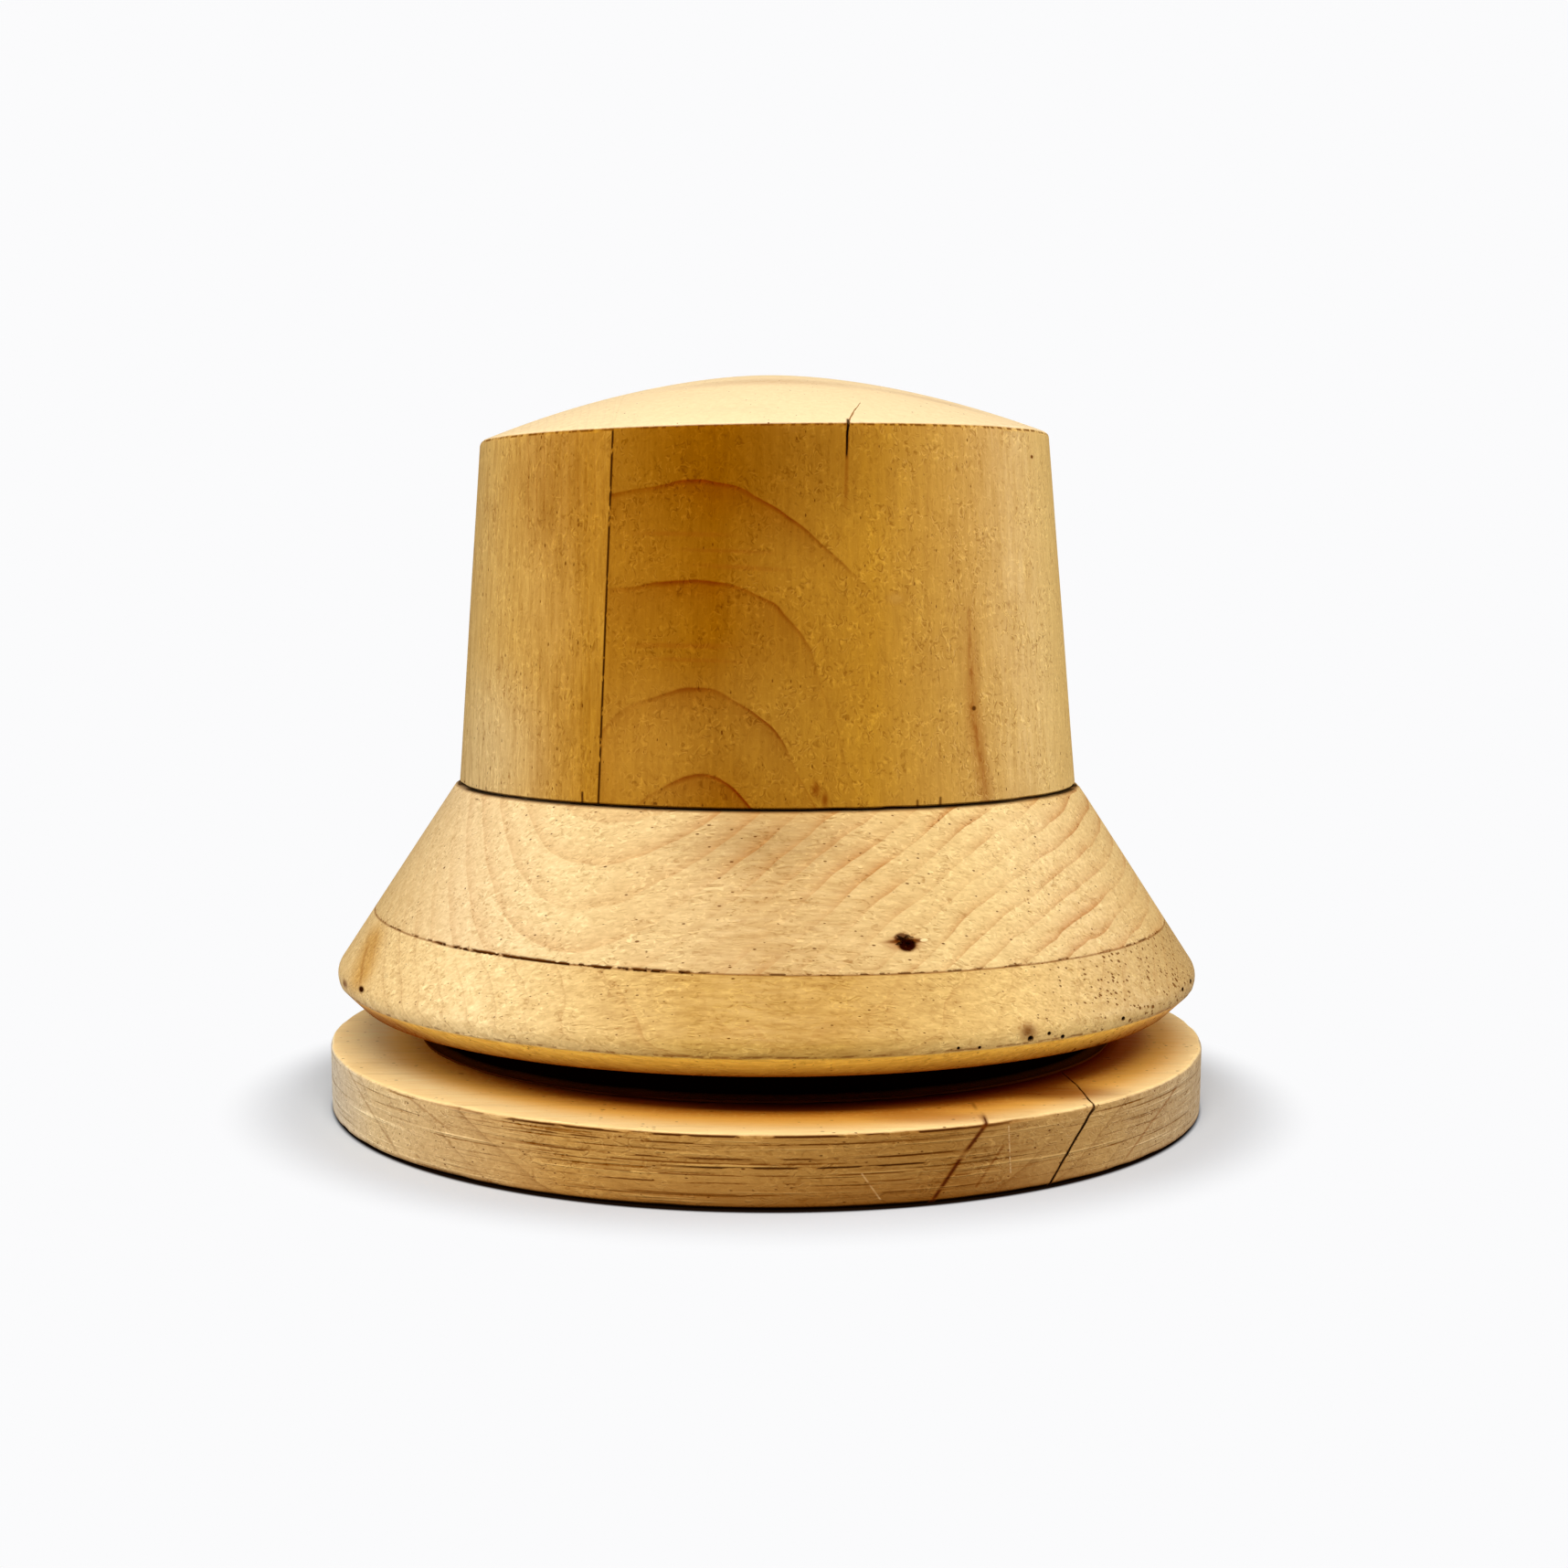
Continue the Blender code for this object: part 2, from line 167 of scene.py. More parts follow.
# The studio: colours, the distances over which the floor fades to white, and an oval as deep as the base's
WHITE = "#FBFBFC"
ROOM = "#F2F3F5"
ROOM_LIGHT = 0.15
FLOOR_SEEN = "#CCCED1"
FLOOR_FROM_BELOW = "#B8B6B2"
CONTACT_SHADE = "#180D06"
CONTACT_REACH = (BASE_CORNER.x / MM + 0.6, BASE_CORNER.y / MM + 2.9, 50)
CONTACT_SOFTNESS = 0.014
FADE_STARTS = 0.146
FADE_ENDS = 0.177
FADE_OVAL = (1.0, 1.134, 1.0)
FLOOR_RADIUS = 6.0
FLOOR_STEPS = 96

# Soft boxes: name, place, what it points at, size and power, in metres and watts
LAMPS = [
    ("overhead_softbox", (0.0, -0.34, 1.08), (0.0, -0.08, 0.11), (1.0, 1.0), 3.8),
    ("front_softbox", (0.0, -0.90, 0.92), (0.0, 0.0, 0.03), (0.9, 0.4), 11.5),
    ("left_softbox", (-0.92, -0.25, 0.5), (0.0, 0.0, 0.11), (0.6, 0.7), 4.6),
    ("right_softbox", (1.0, 0.1, 0.4), (0.0, 0.0, 0.11), (0.5, 0.8), 6.2),
]

CROWN_GLUE_NORMAL = Vector((math.cos(CROWN_GLUE_LEAN), 0, -math.sin(CROWN_GLUE_LEAN)))
CROWN_GLUE_POINT = Vector((CROWN_GLUE_X, 0, CROWN_FOOT_Z))
BRIM_GLUE_NORMAL = Vector((math.sin(BRIM_GLUE_TILT), 0, math.cos(BRIM_GLUE_TILT)))
BRIM_GLUE_POINT = Vector((0, 0, BRIM_GLUE_Z))


def oval_width(radius):
    """Half the width of the oval whose half length is radius: the two axes keep their difference."""
    return radius - OVAL_DIFFERENCE * min(1.0, radius / CROWN_TOP_RADIUS)


def rounded(corners):
    """Turn (radius, z, rounding) corners into outline points, with an arc at each rounded corner."""
    points = []
    for i, (radius, z, rounding) in enumerate(corners):
        corner = Vector((radius, z))
        if not rounding:
            points.append(corner)
            continue
        to_last = (Vector(corners[i - 1][:2]) - corner).normalized()
        to_next = (Vector(corners[i + 1][:2]) - corner).normalized()
        half_angle = to_last.angle(to_next) / 2
        reach = rounding / math.tan(half_angle)
        centre = corner + (to_last + to_next).normalized() * rounding / math.sin(half_angle)
        start = corner + to_last * reach - centre
        turn = start.angle_signed(corner + to_next * reach - centre)
        for step in range(ROUND_STEPS + 1):
            spoke = start.copy()
            spoke.rotate(Matrix.Rotation(-turn * step / ROUND_STEPS, 2))
            points.append(centre + spoke)
    return points


def strips(points):
    """Cut an outline's long runs into rows, where it is out in the open and not near the axis."""
    cut = [points[0]]
    for last, point in zip(points, points[1:]):
        rows = max(1, math.ceil((point - last).length / ROW))
        if min(last.x, point.x) < ROW:
            rows = 1
        for row in range(1, rows + 1):
            cut.append(last.lerp(point, row / rows))
    return cut


def oval_turned(outline):
    """Turn an outline, listed down its outer side, on the oval lathe."""
    shape = bmesh.new()
    rows = []
    for radius, z in outline:
        if radius <= 0:
            rows.append([shape.verts.new((0, 0, z))])
            continue
        width = oval_width(radius)
        turns = [2 * math.pi * step / OVAL_STEPS for step in range(OVAL_STEPS)]
        rows.append([shape.verts.new((radius * math.cos(a), width * math.sin(a), z)) for a in turns])
    for upper, lower in zip(rows, rows[1:]):
        for i in range(OVAL_STEPS):
            j = (i + 1) % OVAL_STEPS
            if len(upper) == 1:
                shape.faces.new((upper[0], lower[i], lower[j]))
            elif len(lower) == 1:
                shape.faces.new((upper[i], lower[0], upper[j]))
            else:
                shape.faces.new((upper[i], lower[i], lower[j], upper[j]))
    return shape


def wear(shape):
    """Leave the turned surface slightly uneven and its arrises rubbed, always under the true outline."""
    shape.normal_update()
    moves = []
    for vertex in shape.verts:
        bend = max(edge.calc_face_angle(0) for edge in vertex.link_edges)
        slow = 0.5 + 0.5 * noise.noise(vertex.co / UNEVEN_LENGTH)
        rubbed = max(0.0, noise.noise(vertex.co / EDGE_WEAR_LENGTH + EDGE_WEAR_SHIFT))
        depth = UNEVENNESS * max(0.0, slow)
        if bend > ARRIS_BEND:
            depth += EDGE_WEAR * rubbed
        moves.append(vertex.normal * depth)
    for vertex, move in zip(shape.verts, moves):
        vertex.co -= move


def boards_from(blank, point, normal, sides):
    """Cut a turned blank at its glue plane into boards, each on its side and with a flat glued face."""
    boards = {}
    for name, side in sides.items():
        shape = blank.copy()
        everything = shape.verts[:] + shape.edges[:] + shape.faces[:]
        bmesh.ops.bisect_plane(shape, geom=everything, plane_co=point + normal * side * GLUE_GAP / 2,
                               plane_no=normal * -side, clear_outer=True)
        rim = [edge for edge in shape.edges if edge.is_boundary]
        bmesh.ops.contextual_create(shape, geom=rim)
        bmesh.ops.recalc_face_normals(shape, faces=shape.faces[:])
        boards[name] = object_from(shape, name + "_wood")
    blank.free()
    return boards


def object_from(shape, name):
    mesh = bpy.data.meshes.new(name)
    shape.to_mesh(mesh)
    shape.free()
    thing = bpy.data.objects.new(name, mesh)
    bpy.context.scene.collection.objects.link(thing)
    return thing


def round_bar(name, centre, profile, steps):
    """Turn a round bar or a hole's cutter from (radius, z) points, listed down its side."""
    shape = bmesh.new()
    rows = []
    for radius, z in profile:
        turns = [2 * math.pi * step / steps for step in range(steps if radius else 1)]
        places = [centre + Vector((radius * math.cos(a), radius * math.sin(a), z)) for a in turns]
        rows.append([shape.verts.new(place) for place in places])
    for upper, lower in zip(rows, rows[1:]):
        for i in range(steps):
            ring = [upper[i % len(upper)], lower[i % len(lower)]]
            ring += [lower[(i + 1) % len(lower)], upper[(i + 1) % len(upper)]]
            corners = list(dict.fromkeys(ring))
            shape.faces.new(corners)
    return object_from(shape, name)


def cylinder(name, centre, radius, bottom, top, chamfer=0.0):
    sides = [(radius, top), (radius, bottom)]
    if chamfer:
        inner = radius - chamfer
        sides = [(inner, top), (radius, top - chamfer), (radius, bottom + chamfer), (inner, bottom)]
    return round_bar(name, centre, [(0, top)] + sides + [(0, bottom)], BORE_STEPS)


def check_cutter(name, path, inward, width, depth):
    """A thin wedge along a drying check: widest in the middle of its path, closed at both ends and inside."""
    shape = bmesh.new()
    inward = Vector(inward).normalized()
    points = [Vector(p) * MM for p in path]
    line = []
    for last, point in zip(points, points[1:]):
        for step in range(CHECK_STEPS):
            line.append(last.lerp(point, step / CHECK_STEPS))
    line.append(points[-1])
    rings = []
    for i, place in enumerate(line):
        along = (line[min(i + 1, len(line) - 1)] - line[max(i - 1, 0)]).normalized()
        side = along.cross(inward).normalized()
        share = i / (len(line) - 1)
        swell = math.sin(math.pi * (CHECK_END + (1 - 2 * CHECK_END) * share))
        swell = max(CHECK_THINNEST, swell ** CHECK_FULLNESS)
        shake = CHECK_SHAKE * noise.noise(place / CHECK_SHAKE_LENGTH)
        half = width / 2 * swell * (1 + 0.5 * noise.noise(place / CHECK_RAG_LENGTH))
        lip = place + side * shake - inward * CHECK_LIP
        tip = place + side * shake + inward * depth * swell
        rings.append([shape.verts.new(p) for p in (lip - side * half, lip + side * half, tip)])
    for last, ring in zip(rings, rings[1:]):
        for k in range(3):
            shape.faces.new((last[k], last[(k + 1) % 3], ring[(k + 1) % 3], ring[k]))
    shape.faces.new(rings[0][::-1])
    shape.faces.new(rings[-1])
    bmesh.ops.recalc_face_normals(shape, faces=shape.faces[:])
    return object_from(shape, name)


def pit_cutter(name, place, size, raggedness):
    """A ragged pit, such as a loose knot's, or a worm hole."""
    shape = bmesh.new()
    bmesh.ops.create_icosphere(shape, subdivisions=3, radius=1)
    for vertex in shape.verts:
        ragged = 1 + raggedness * noise.noise(vertex.co * PIT_RAG_PITCH + Vector(place))
        vertex.co = Vector(place) * MM + vertex.co * Vector(size) * MM * ragged
    return object_from(shape, name)


def cut_all(thing, cutters):
    """Take the cutters out of a board and shade it smooth between its arrises."""
    for cutter in cutters:
        hole = thing.modifiers.new(cutter.name, "BOOLEAN")
        hole.operation = "DIFFERENCE"
        hole.solver = "EXACT"
        hole.object = cutter
    graph = bpy.context.evaluated_depsgraph_get()
    mesh = bpy.data.meshes.new_from_object(thing.evaluated_get(graph))
    thing.modifiers.clear()
    thing.data = mesh
    mesh.name = thing.name
    for cutter in cutters:
        bpy.data.objects.remove(cutter)
    mesh.shade_smooth()
    mesh.set_sharp_from_angle(angle=SHARP_ANGLE)
    return thing


def crown_blank():
    """The whole crown: a low dome over a draughted wall, leaned back and tipped a little."""
    corners = []
    dome_rows = math.ceil(CROWN_TOP_RADIUS / ROW)
    for row in range(dome_rows):
        share = row / dome_rows
        corners.append((CROWN_TOP_RADIUS * share, CROWN_HEIGHT + DOME_RISE * (1 - share ** DOME_POWER), 0))
    draft_at_ease = (HEAD_RADIUS - CROWN_TOP_RADIUS) * SEAM_EASE / CROWN_HEIGHT
    corners += [
        (CROWN_TOP_RADIUS, CROWN_HEIGHT, CROWN_ARRIS_ROUND),
        (HEAD_RADIUS - draft_at_ease, SEAM_EASE, 0),
        (HEAD_RADIUS - SEAM_EASE, 0, 0),
        (HEAD_RADIUS - FLAT_MARGIN, 0, 0),
        (0, 0, 0),
    ]
    shape = oval_turned(strips(rounded(corners)))
    for vertex in shape.verts:
        rise = min(1.0, vertex.co.z / CROWN_HEIGHT)
        vertex.co.z += math.tan(TIP_TILT) * vertex.co.x * rise + CROWN_FOOT_Z
        vertex.co.x -= CROWN_SET_BACK * rise
    wear(shape)
    return shape


def brim_blank():
    """The whole brim block: slope, round edge, undercut bevel, and the neck that makes the rope groove."""
    slope = (BRIM_EDGE_RADIUS - BRIM_TOP_RADIUS) / (BRIM_TOP_Z - BRIM_EDGE_Z)
    foot_radius = NECK_RADIUS + NECK_COVE + NECK_LIP
    lip_z = NECK_FOOT_Z + NECK_LIP
    shape = oval_turned(strips(rounded([
        (0, BRIM_TOP_Z, 0),
        (BRIM_TOP_RADIUS - FLAT_MARGIN, BRIM_TOP_Z, 0),
        (BRIM_TOP_RADIUS - SEAM_EASE, BRIM_TOP_Z, 0),
        (BRIM_TOP_RADIUS + slope * SEAM_EASE, BRIM_TOP_Z - SEAM_EASE, 0),
        (BRIM_EDGE_RADIUS, BRIM_EDGE_Z, BRIM_EDGE_ROUND),
        (BRIM_ARRIS_RADIUS, BRIM_ARRIS_Z, 0),
        (BEVEL_END_RADIUS, BEVEL_END_Z, UNDER_ROUND),
        (NECK_RADIUS, BEVEL_END_Z, ROPE_GROOVE_ROUND),
        (NECK_RADIUS, lip_z, NECK_COVE),
        (foot_radius, lip_z, 0),
        (foot_radius, NECK_FOOT_Z, 0),
        (0, NECK_FOOT_Z, 0),
    ])))
    wear(shape)
    return shape


def base_blank():
    shape = oval_turned(strips(rounded([
        (0, BASE_THICKNESS, 0),
        (BASE_RADIUS - 2 * FLAT_MARGIN, BASE_THICKNESS, 0),
        (BASE_RADIUS, BASE_THICKNESS, BASE_ARRIS_ROUND),
        (BASE_RADIUS, BASE_FOOT_EASE, 0),
        (BASE_RADIUS - BASE_FOOT_EASE, 0, 0),
        (BASE_RADIUS - FLAT_MARGIN, 0, 0),
        (0, 0, 0),
    ])))
    wear(shape)
    return shape


def dowel_seat(end):
    """A dowel's axis, as its point on the floor, and the heights of the dowel's two ends."""
    low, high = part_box(f"locating_dowel_{end}")
    return Vector(((low.x + high.x) / 2, (low.y + high.y) / 2, 0)), low.z, high.z


def spindle_cutter():
    return cylinder("spindle_bore", Vector(), SPINDLE_RADIUS, -OVERRUN, SPINDLE_TOP_Z)


def make_crown():
    """The crown's two boards, with their dowel sockets; the front one has the spindle bore and the check."""
    sides = {"crown_left_board": -1, "crown_right_board": 1}
    boards = boards_from(crown_blank(), CROWN_GLUE_POINT, CROWN_GLUE_NORMAL, sides)
    for board, end in zip(boards.values(), DOWEL_ENDS):
        seat, _, top = dowel_seat(end)
        cutters = [cylinder("socket", seat, SOCKET_RADIUS, CROWN_FOOT_Z - OVERRUN, top + SOCKET_AIR)]
        if end == "front":
            cutters += [spindle_cutter(), check_cutter("crown_check", *CROWN_CHECK)]
        cut_all(board, cutters)
    return boards


def screw_seats():
    """Each screw's number, the middle of its head's face, and its length."""
    for number in range(1, 7):
        low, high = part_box(f"base_screw_{number}")
        yield number, Vector(((low.x + high.x) / 2, (low.y + high.y) / 2, low.z)), high.z - low.z


def screw_profile(length, grow=0.0):
    """A countersunk screw from tip to head, or, grown by its play, the hole that takes it."""
    cone = SCREW_HEAD_RADIUS - SCREW_SHANK_RADIUS
    mouth = -OVERRUN if grow else 0
    return [
        (0, length + grow),
        (SCREW_SHANK_RADIUS + grow, length - SCREW_TIP_LENGTH + grow),
        (SCREW_SHANK_RADIUS + grow, SCREW_HEAD_RIM + cone),
        (SCREW_HEAD_RADIUS + grow, SCREW_HEAD_RIM),
        (SCREW_HEAD_RADIUS + grow, mouth),
        (0, mouth),
    ]


def screw_hole_cutters():
    return [round_bar("screw_hole", seat, screw_profile(length, FIT_GAP), SCREW_STEPS)
            for _, seat, length in screw_seats()]


def make_brim():
    """The brim's two boards: the upper with the dowel holes and the knot, the lower with the worm holes."""
    sides = {"brim_upper_board": 1, "brim_lower_board": -1}
    boards = boards_from(brim_blank(), BRIM_GLUE_POINT, BRIM_GLUE_NORMAL, sides)
    cutters = [spindle_cutter()]
    for end in DOWEL_ENDS:
        seat, foot, _ = dowel_seat(end)
        bottom, top = foot - FIT_GAP, BRIM_TOP_Z + OVERRUN
        cutters.append(cylinder("dowel_hole", seat, DOWEL_RADIUS + FIT_GAP, bottom, top))
    cut_all(boards["brim_upper_board"], cutters + [pit_cutter("knot", *KNOT)])
    cutters = [spindle_cutter()] + screw_hole_cutters()
    for x, y, z, size in WORM_HOLES:
        cutters.append(pit_cutter("worm_hole", (x, y, z), (size, WORM_HOLE_DEPTH, size), WORM_HOLE_RAGS))
    cut_all(boards["brim_lower_board"], cutters)
    return boards


def make_base():
    base = object_from(base_blank(), "base_board_wood")
    cutters = [spindle_cutter(), check_cutter("base_check", *BASE_CHECK)] + screw_hole_cutters()
    return {"base_board": cut_all(base, cutters)}


def make_dowels():
    pieces = {}
    for end in DOWEL_ENDS:
        name = f"locating_dowel_{end}"
        seat, foot, top = dowel_seat(end)
        pieces[name] = cut_all(cylinder(name + "_wood", seat, DOWEL_RADIUS, foot, top, DOWEL_CHAMFER), [])
    return pieces


def make_screws():
    """Six slotted screws, each stopped at its own turn."""
    pieces = {}
    slot_size = (4 * SCREW_HEAD_RADIUS, SCREW_SLOT_WIDTH, 2 * SCREW_SLOT_DEPTH)
    for number, seat, length in screw_seats():
        screw = round_bar(f"base_screw_{number}_brass", seat, screw_profile(length), SCREW_STEPS)
        slot = bmesh.new()
        bmesh.ops.create_cube(slot, size=1)
        bmesh.ops.scale(slot, vec=slot_size, verts=slot.verts[:])
        spin = Matrix.Rotation(SCREW_LAST_TURN * number, 4, "Z")
        slot.transform(Matrix.Translation(seat) @ spin)
        pieces[f"base_screw_{number}"] = cut_all(screw, [object_from(slot, "slot")])
    return pieces


# Directions: a plane that faces up has its height in z, and one upside down counts from the top
UP = (0, 0, 1)
UPSIDE_DOWN = (0, 0, -1)
SIDEWAYS = (1, 0, 0)


def linear(hex_colour):
    """Turn an sRGB hex colour into the linear values that a shader takes."""
    channels = [int(hex_colour[i:i + 2], 16) / 255 for i in (1, 3, 5)]
    return [c / 12.92 if c <= 0.04045 else ((c + 0.055) / 1.055) ** 2.4 for c in channels] + [1.0]


def add(tree, kind, sockets=(), stops=(), output=None, **settings):
    """Add a node, such as "Math ADD", with its settings, colour stops and sockets; return its result.

    A socket takes a value, an sRGB hex colour or a link, and a list fills the sockets from the first on.
    """
    kind, *operations = kind.split()
    node = tree.nodes.new("ShaderNode" + kind)
    for operation in operations:
        node.operation = operation
    for name, value in settings.items():
        setattr(node, name, value)
    for key, value in (sockets if isinstance(sockets, dict) else dict(enumerate(sockets))).items():
        if isinstance(value, bpy.types.NodeSocket):
            tree.links.new(value, node.inputs[key])
        else:
            node.inputs[key].default_value = linear(value) if isinstance(value, str) else value
    for number, (position, value) in enumerate(stops):
        elements = node.color_ramp.elements
        stop = elements[number] if number < 2 else elements.new(position)
        stop.position = position
        stop.color = linear(value) if isinstance(value, str) else (value, value, value, 1)
    return node.outputs[output] if output else next(result for result in node.outputs if result.enabled)


def new_material(name):
    finish = bpy.data.materials.new(name)
    finish.use_nodes = True
    tree = finish.node_tree
    return finish, tree, tree.nodes["Principled BSDF"]


def near(tree, place, centre, size, softness=1.0):
    """1 inside an egg-shaped zone, falling to 0 at its edge."""
    offset = add(tree, "VectorMath SUBTRACT", [place, Vector(centre) * MM])
    shares = [1 / (width * MM) for width in size]
    offset = add(tree, "VectorMath MULTIPLY", [offset, shares])
    distance = add(tree, "VectorMath LENGTH", [offset])
    return add(tree, "MapRange", [distance, 1.0, 1.0 - softness], interpolation_type="SMOOTHSTEP")


def drawn_line(tree, place, points, width, through):
    """1 on a line drawn on the surface, taken through the block along the axis that through leaves out."""
    whole = None
    for start, end in zip(points, points[1:]):
        through = Vector(through)
        start = Vector(start) * MM * through
        run = Vector(end) * MM * through - start
        offset = add(tree, "VectorMath MULTIPLY_ADD", [place, through, -start])
        reach = add(tree, "VectorMath DOT_PRODUCT", [offset, run / run.length_squared])
        reach = add(tree, "Clamp", [reach])
        foot = add(tree, "VectorMath SCALE", {0: run, 3: reach})
        distance = add(tree, "VectorMath DISTANCE", [offset, foot])
        here = add(tree, "MapRange", [distance, width * MM, width * MM / 4])
        whole = add(tree, "Math MAXIMUM", [whole, here]) if whole else here
    return whole


def band(tree, place, normal, height, width):
    """1 on a plane through the block, within a width to either side."""
    level = add(tree, "VectorMath DOT_PRODUCT", [place, normal])
    offset = add(tree, "Math SUBTRACT", [level, height * MM])
    offset = add(tree, "Math ABSOLUTE", [offset])
    return add(tree, "MapRange", [offset, width * MM, width * MM / 3])


def above(tree, place, normal, height, softness):
    """1 over a plane through the block, 0 under it."""
    level = add(tree, "VectorMath DOT_PRODUCT", [place, normal])
    return add(tree, "MapRange", [level, height * MM, (height + softness) * MM])


def mark_wood(tree, place, colour, broken, marks, rim=None):
    """Lay stains, dirt, drawn lines and painted light and shade over the wood's colour, one after the other,
    with a tinted rim.

    A mark is its kind, shape, colour and strength. Then come, if it has them, the limits between which
    it breaks up, the zone it stays inside and the zone it leaves clear.
    """
    draw = {"spot": near, "line": drawn_line, "above": above, "band": band}
    for kind, shape, tint, strength, *limits in marks:
        breaks, inside, outside = (limits + [None] * 3)[:3]
        amount = draw[kind](tree, place, *shape)
        shares = []
        if breaks:
            shares.append(add(tree, "MapRange", [broken, *breaks]))
        if outside:
            shares.append(add(tree, "Math SUBTRACT", [1.0, near(tree, place, *outside)]))
        if inside:
            shares.append(near(tree, place, *inside))
        for share in shares + [strength]:
            amount = add(tree, "Math MULTIPLY", [amount, share])
        stain = add(tree, "Mix", {0: amount, 6: rim, 7: tint}, data_type="RGBA") if rim else tint
        colour = add(tree, "Mix", {0: amount, 6: colour, 7: stain}, data_type="RGBA")
    return colour


def arch_height(tree, place, wobble, wood):
    """How high each point's ring climbs in the middle of its arch, on a flat-sawn board."""
    middle, bluntness, right_falls, left_falls, heights = wood["arches"]
    blunt = bluntness * MM
    low, high = heights[0] * MM, heights[1] * MM
    x = add(tree, "VectorMath DOT_PRODUCT", [place, SIDEWAYS])
    z = add(tree, "VectorMath DOT_PRODUCT", [place, UP])
    x = add(tree, "Math SUBTRACT", [x, middle * MM])
    right = add(tree, "Math GREATER_THAN", [x, 0.0])
    left_fall = add(tree, "MapRange", [z, low, high, *left_falls])
    right_fall = add(tree, "MapRange", [z, low, high, *right_falls])
    fall = add(tree, "Mix", {0: right, 2: left_fall, 3: right_fall}, data_type="FLOAT")
    away = add(tree, "Math MULTIPLY_ADD", [x, x, blunt ** 2])
    away = add(tree, "Math POWER", [away, ARCH_POWER / 2])
    away = add(tree, "Math SUBTRACT", [away, blunt ** ARCH_POWER])
    height = add(tree, "Math MULTIPLY_ADD", [away, fall, z])
    return add(tree, "Math MULTIPLY_ADD", [wobble, wood["wobble"] * MM, height])


def ring_radius(tree, place, wobble, wood):
    """How far each point is from the leaning pith, on any other board, with rings that sway and wobble."""
    sideways = add(tree, "TexNoise", {"Vector": place, "Scale": 1 / RING_SWAY, "Detail": 3.0})
    sideways = add(tree, "Math SUBTRACT", [sideways, 0.5])
    across = add(tree, "VectorMath DOT_PRODUCT", [place, wood["across"]])
    across = add(tree, "Math MULTIPLY_ADD", [sideways, wood["sway"] * MM, across])
    across = add(tree, "Math SUBTRACT", [across, wood["pith"][0] * MM])
    depth = add(tree, "VectorMath DOT_PRODUCT", [place, wood["depth"]])
    depth = add(tree, "Math SUBTRACT", [depth, wood["pith"][1] * MM])
    flat = add(tree, "CombineXYZ", [across, depth])
    radius = add(tree, "VectorMath LENGTH", [flat])
    climb = add(tree, "VectorMath DOT_PRODUCT", [place, wood["climb"]])
    radius = add(tree, "Math ADD", [radius, climb])
    return add(tree, "Math MULTIPLY_ADD", [wobble, wood["wobble"] * MM, radius])


def growth_rings(tree, place, plainness, wood):
    """Growth rings: each is pale, then darkens to a thin late line with a crisp outer edge."""
    wobble = add(tree, "TexNoise", {"Vector": place, "Scale": 1 / RING_WOBBLE, "Detail": 2.0})
    wobble = add(tree, "Math SUBTRACT", [wobble, 0.5])
    find_radius = arch_height if "arches" in wood else ring_radius
    radius = find_radius(tree, place, wobble, wood)
    for zone, lift in wood.get("ring_lifts", ()):
        zone = near(tree, place, *zone)
        radius = add(tree, "Math MULTIPLY_ADD", [zone, lift * MM, radius])
    pitch = wood["pitch"] * MM
    years = add(tree, "Math MULTIPLY_ADD", [radius, 1 / pitch, -wood["ring_at"] * MM / pitch])
    season = add(tree, "Math FRACT", [years])
    rings = add(tree, "ValToRGB", [season], stops=wood["seasons"])

    # No two years are alike, and the figure comes and goes over the board
    year = add(tree, "Math FLOOR", [years])
    luck = add(tree, "TexWhiteNoise", {"W": year}, noise_dimensions="1D")
    strength = add(tree, "Math MULTIPLY_ADD", [luck, 0.5, 0.5])
    patches = add(tree, "TexNoise", {"Vector": place, "Scale": 1 / RING_PATCHES, "Detail": 1.0})
    patches = add(tree, "MapRange", [patches, *PATCH_EDGES, 0.3, 1.0])
    strength = add(tree, "Math MULTIPLY", [strength, patches])
    for zone, level in wood.get("clear_figure", ()):
        zone = near(tree, place, *zone)
        strength = add(tree, "Mix", {0: zone, 2: strength, 3: level}, data_type="FLOAT")
    shares = [wood["ring_strength"], plainness]
    if "arches" in wood:
        top = wood["ring_at"]
        shares.insert(0, add(tree, "MapRange", [radius, (top + 1) * MM, (top + 5) * MM, 1.0, 0.08]))
    for share in shares:
        strength = add(tree, "Math MULTIPLY", [strength, share])
    return add(tree, "Math MULTIPLY", [rings, strength])


def tone_across(tree, place, wood):
    """The board's broad tone: cloudy, and changing from left to right as heart meets sapwood, and partly
    painted light: most boards are darker in the middle of their front and paler towards their sides, where
    the side lamps' light falls.
    """
    clouds = add(tree, "TexNoise", {"Vector": place, "Scale": 1 / CLOUDS, "Detail": 3.0})
    clouds = add(tree, "MapRange", [clouds, 0.35, 0.65])
    colour = add(tree, "Mix", {0: clouds, 6: wood["pale"], 7: wood["warm"]}, data_type="RGBA")
    left, right = wood["tones_and_side_light"][0][0], wood["tones_and_side_light"][-1][0]
    x = add(tree, "VectorMath DOT_PRODUCT", [place, SIDEWAYS])
    share = add(tree, "MapRange", [x, left * MM, right * MM])
    stops = [((at - left) / (right - left), tint) for at, tint in wood["tones_and_side_light"]]
    across = add(tree, "ValToRGB", [share], stops=stops)
    return add(tree, "Mix", {0: TONE_SHARE, 6: colour, 7: across}, data_type="RGBA")


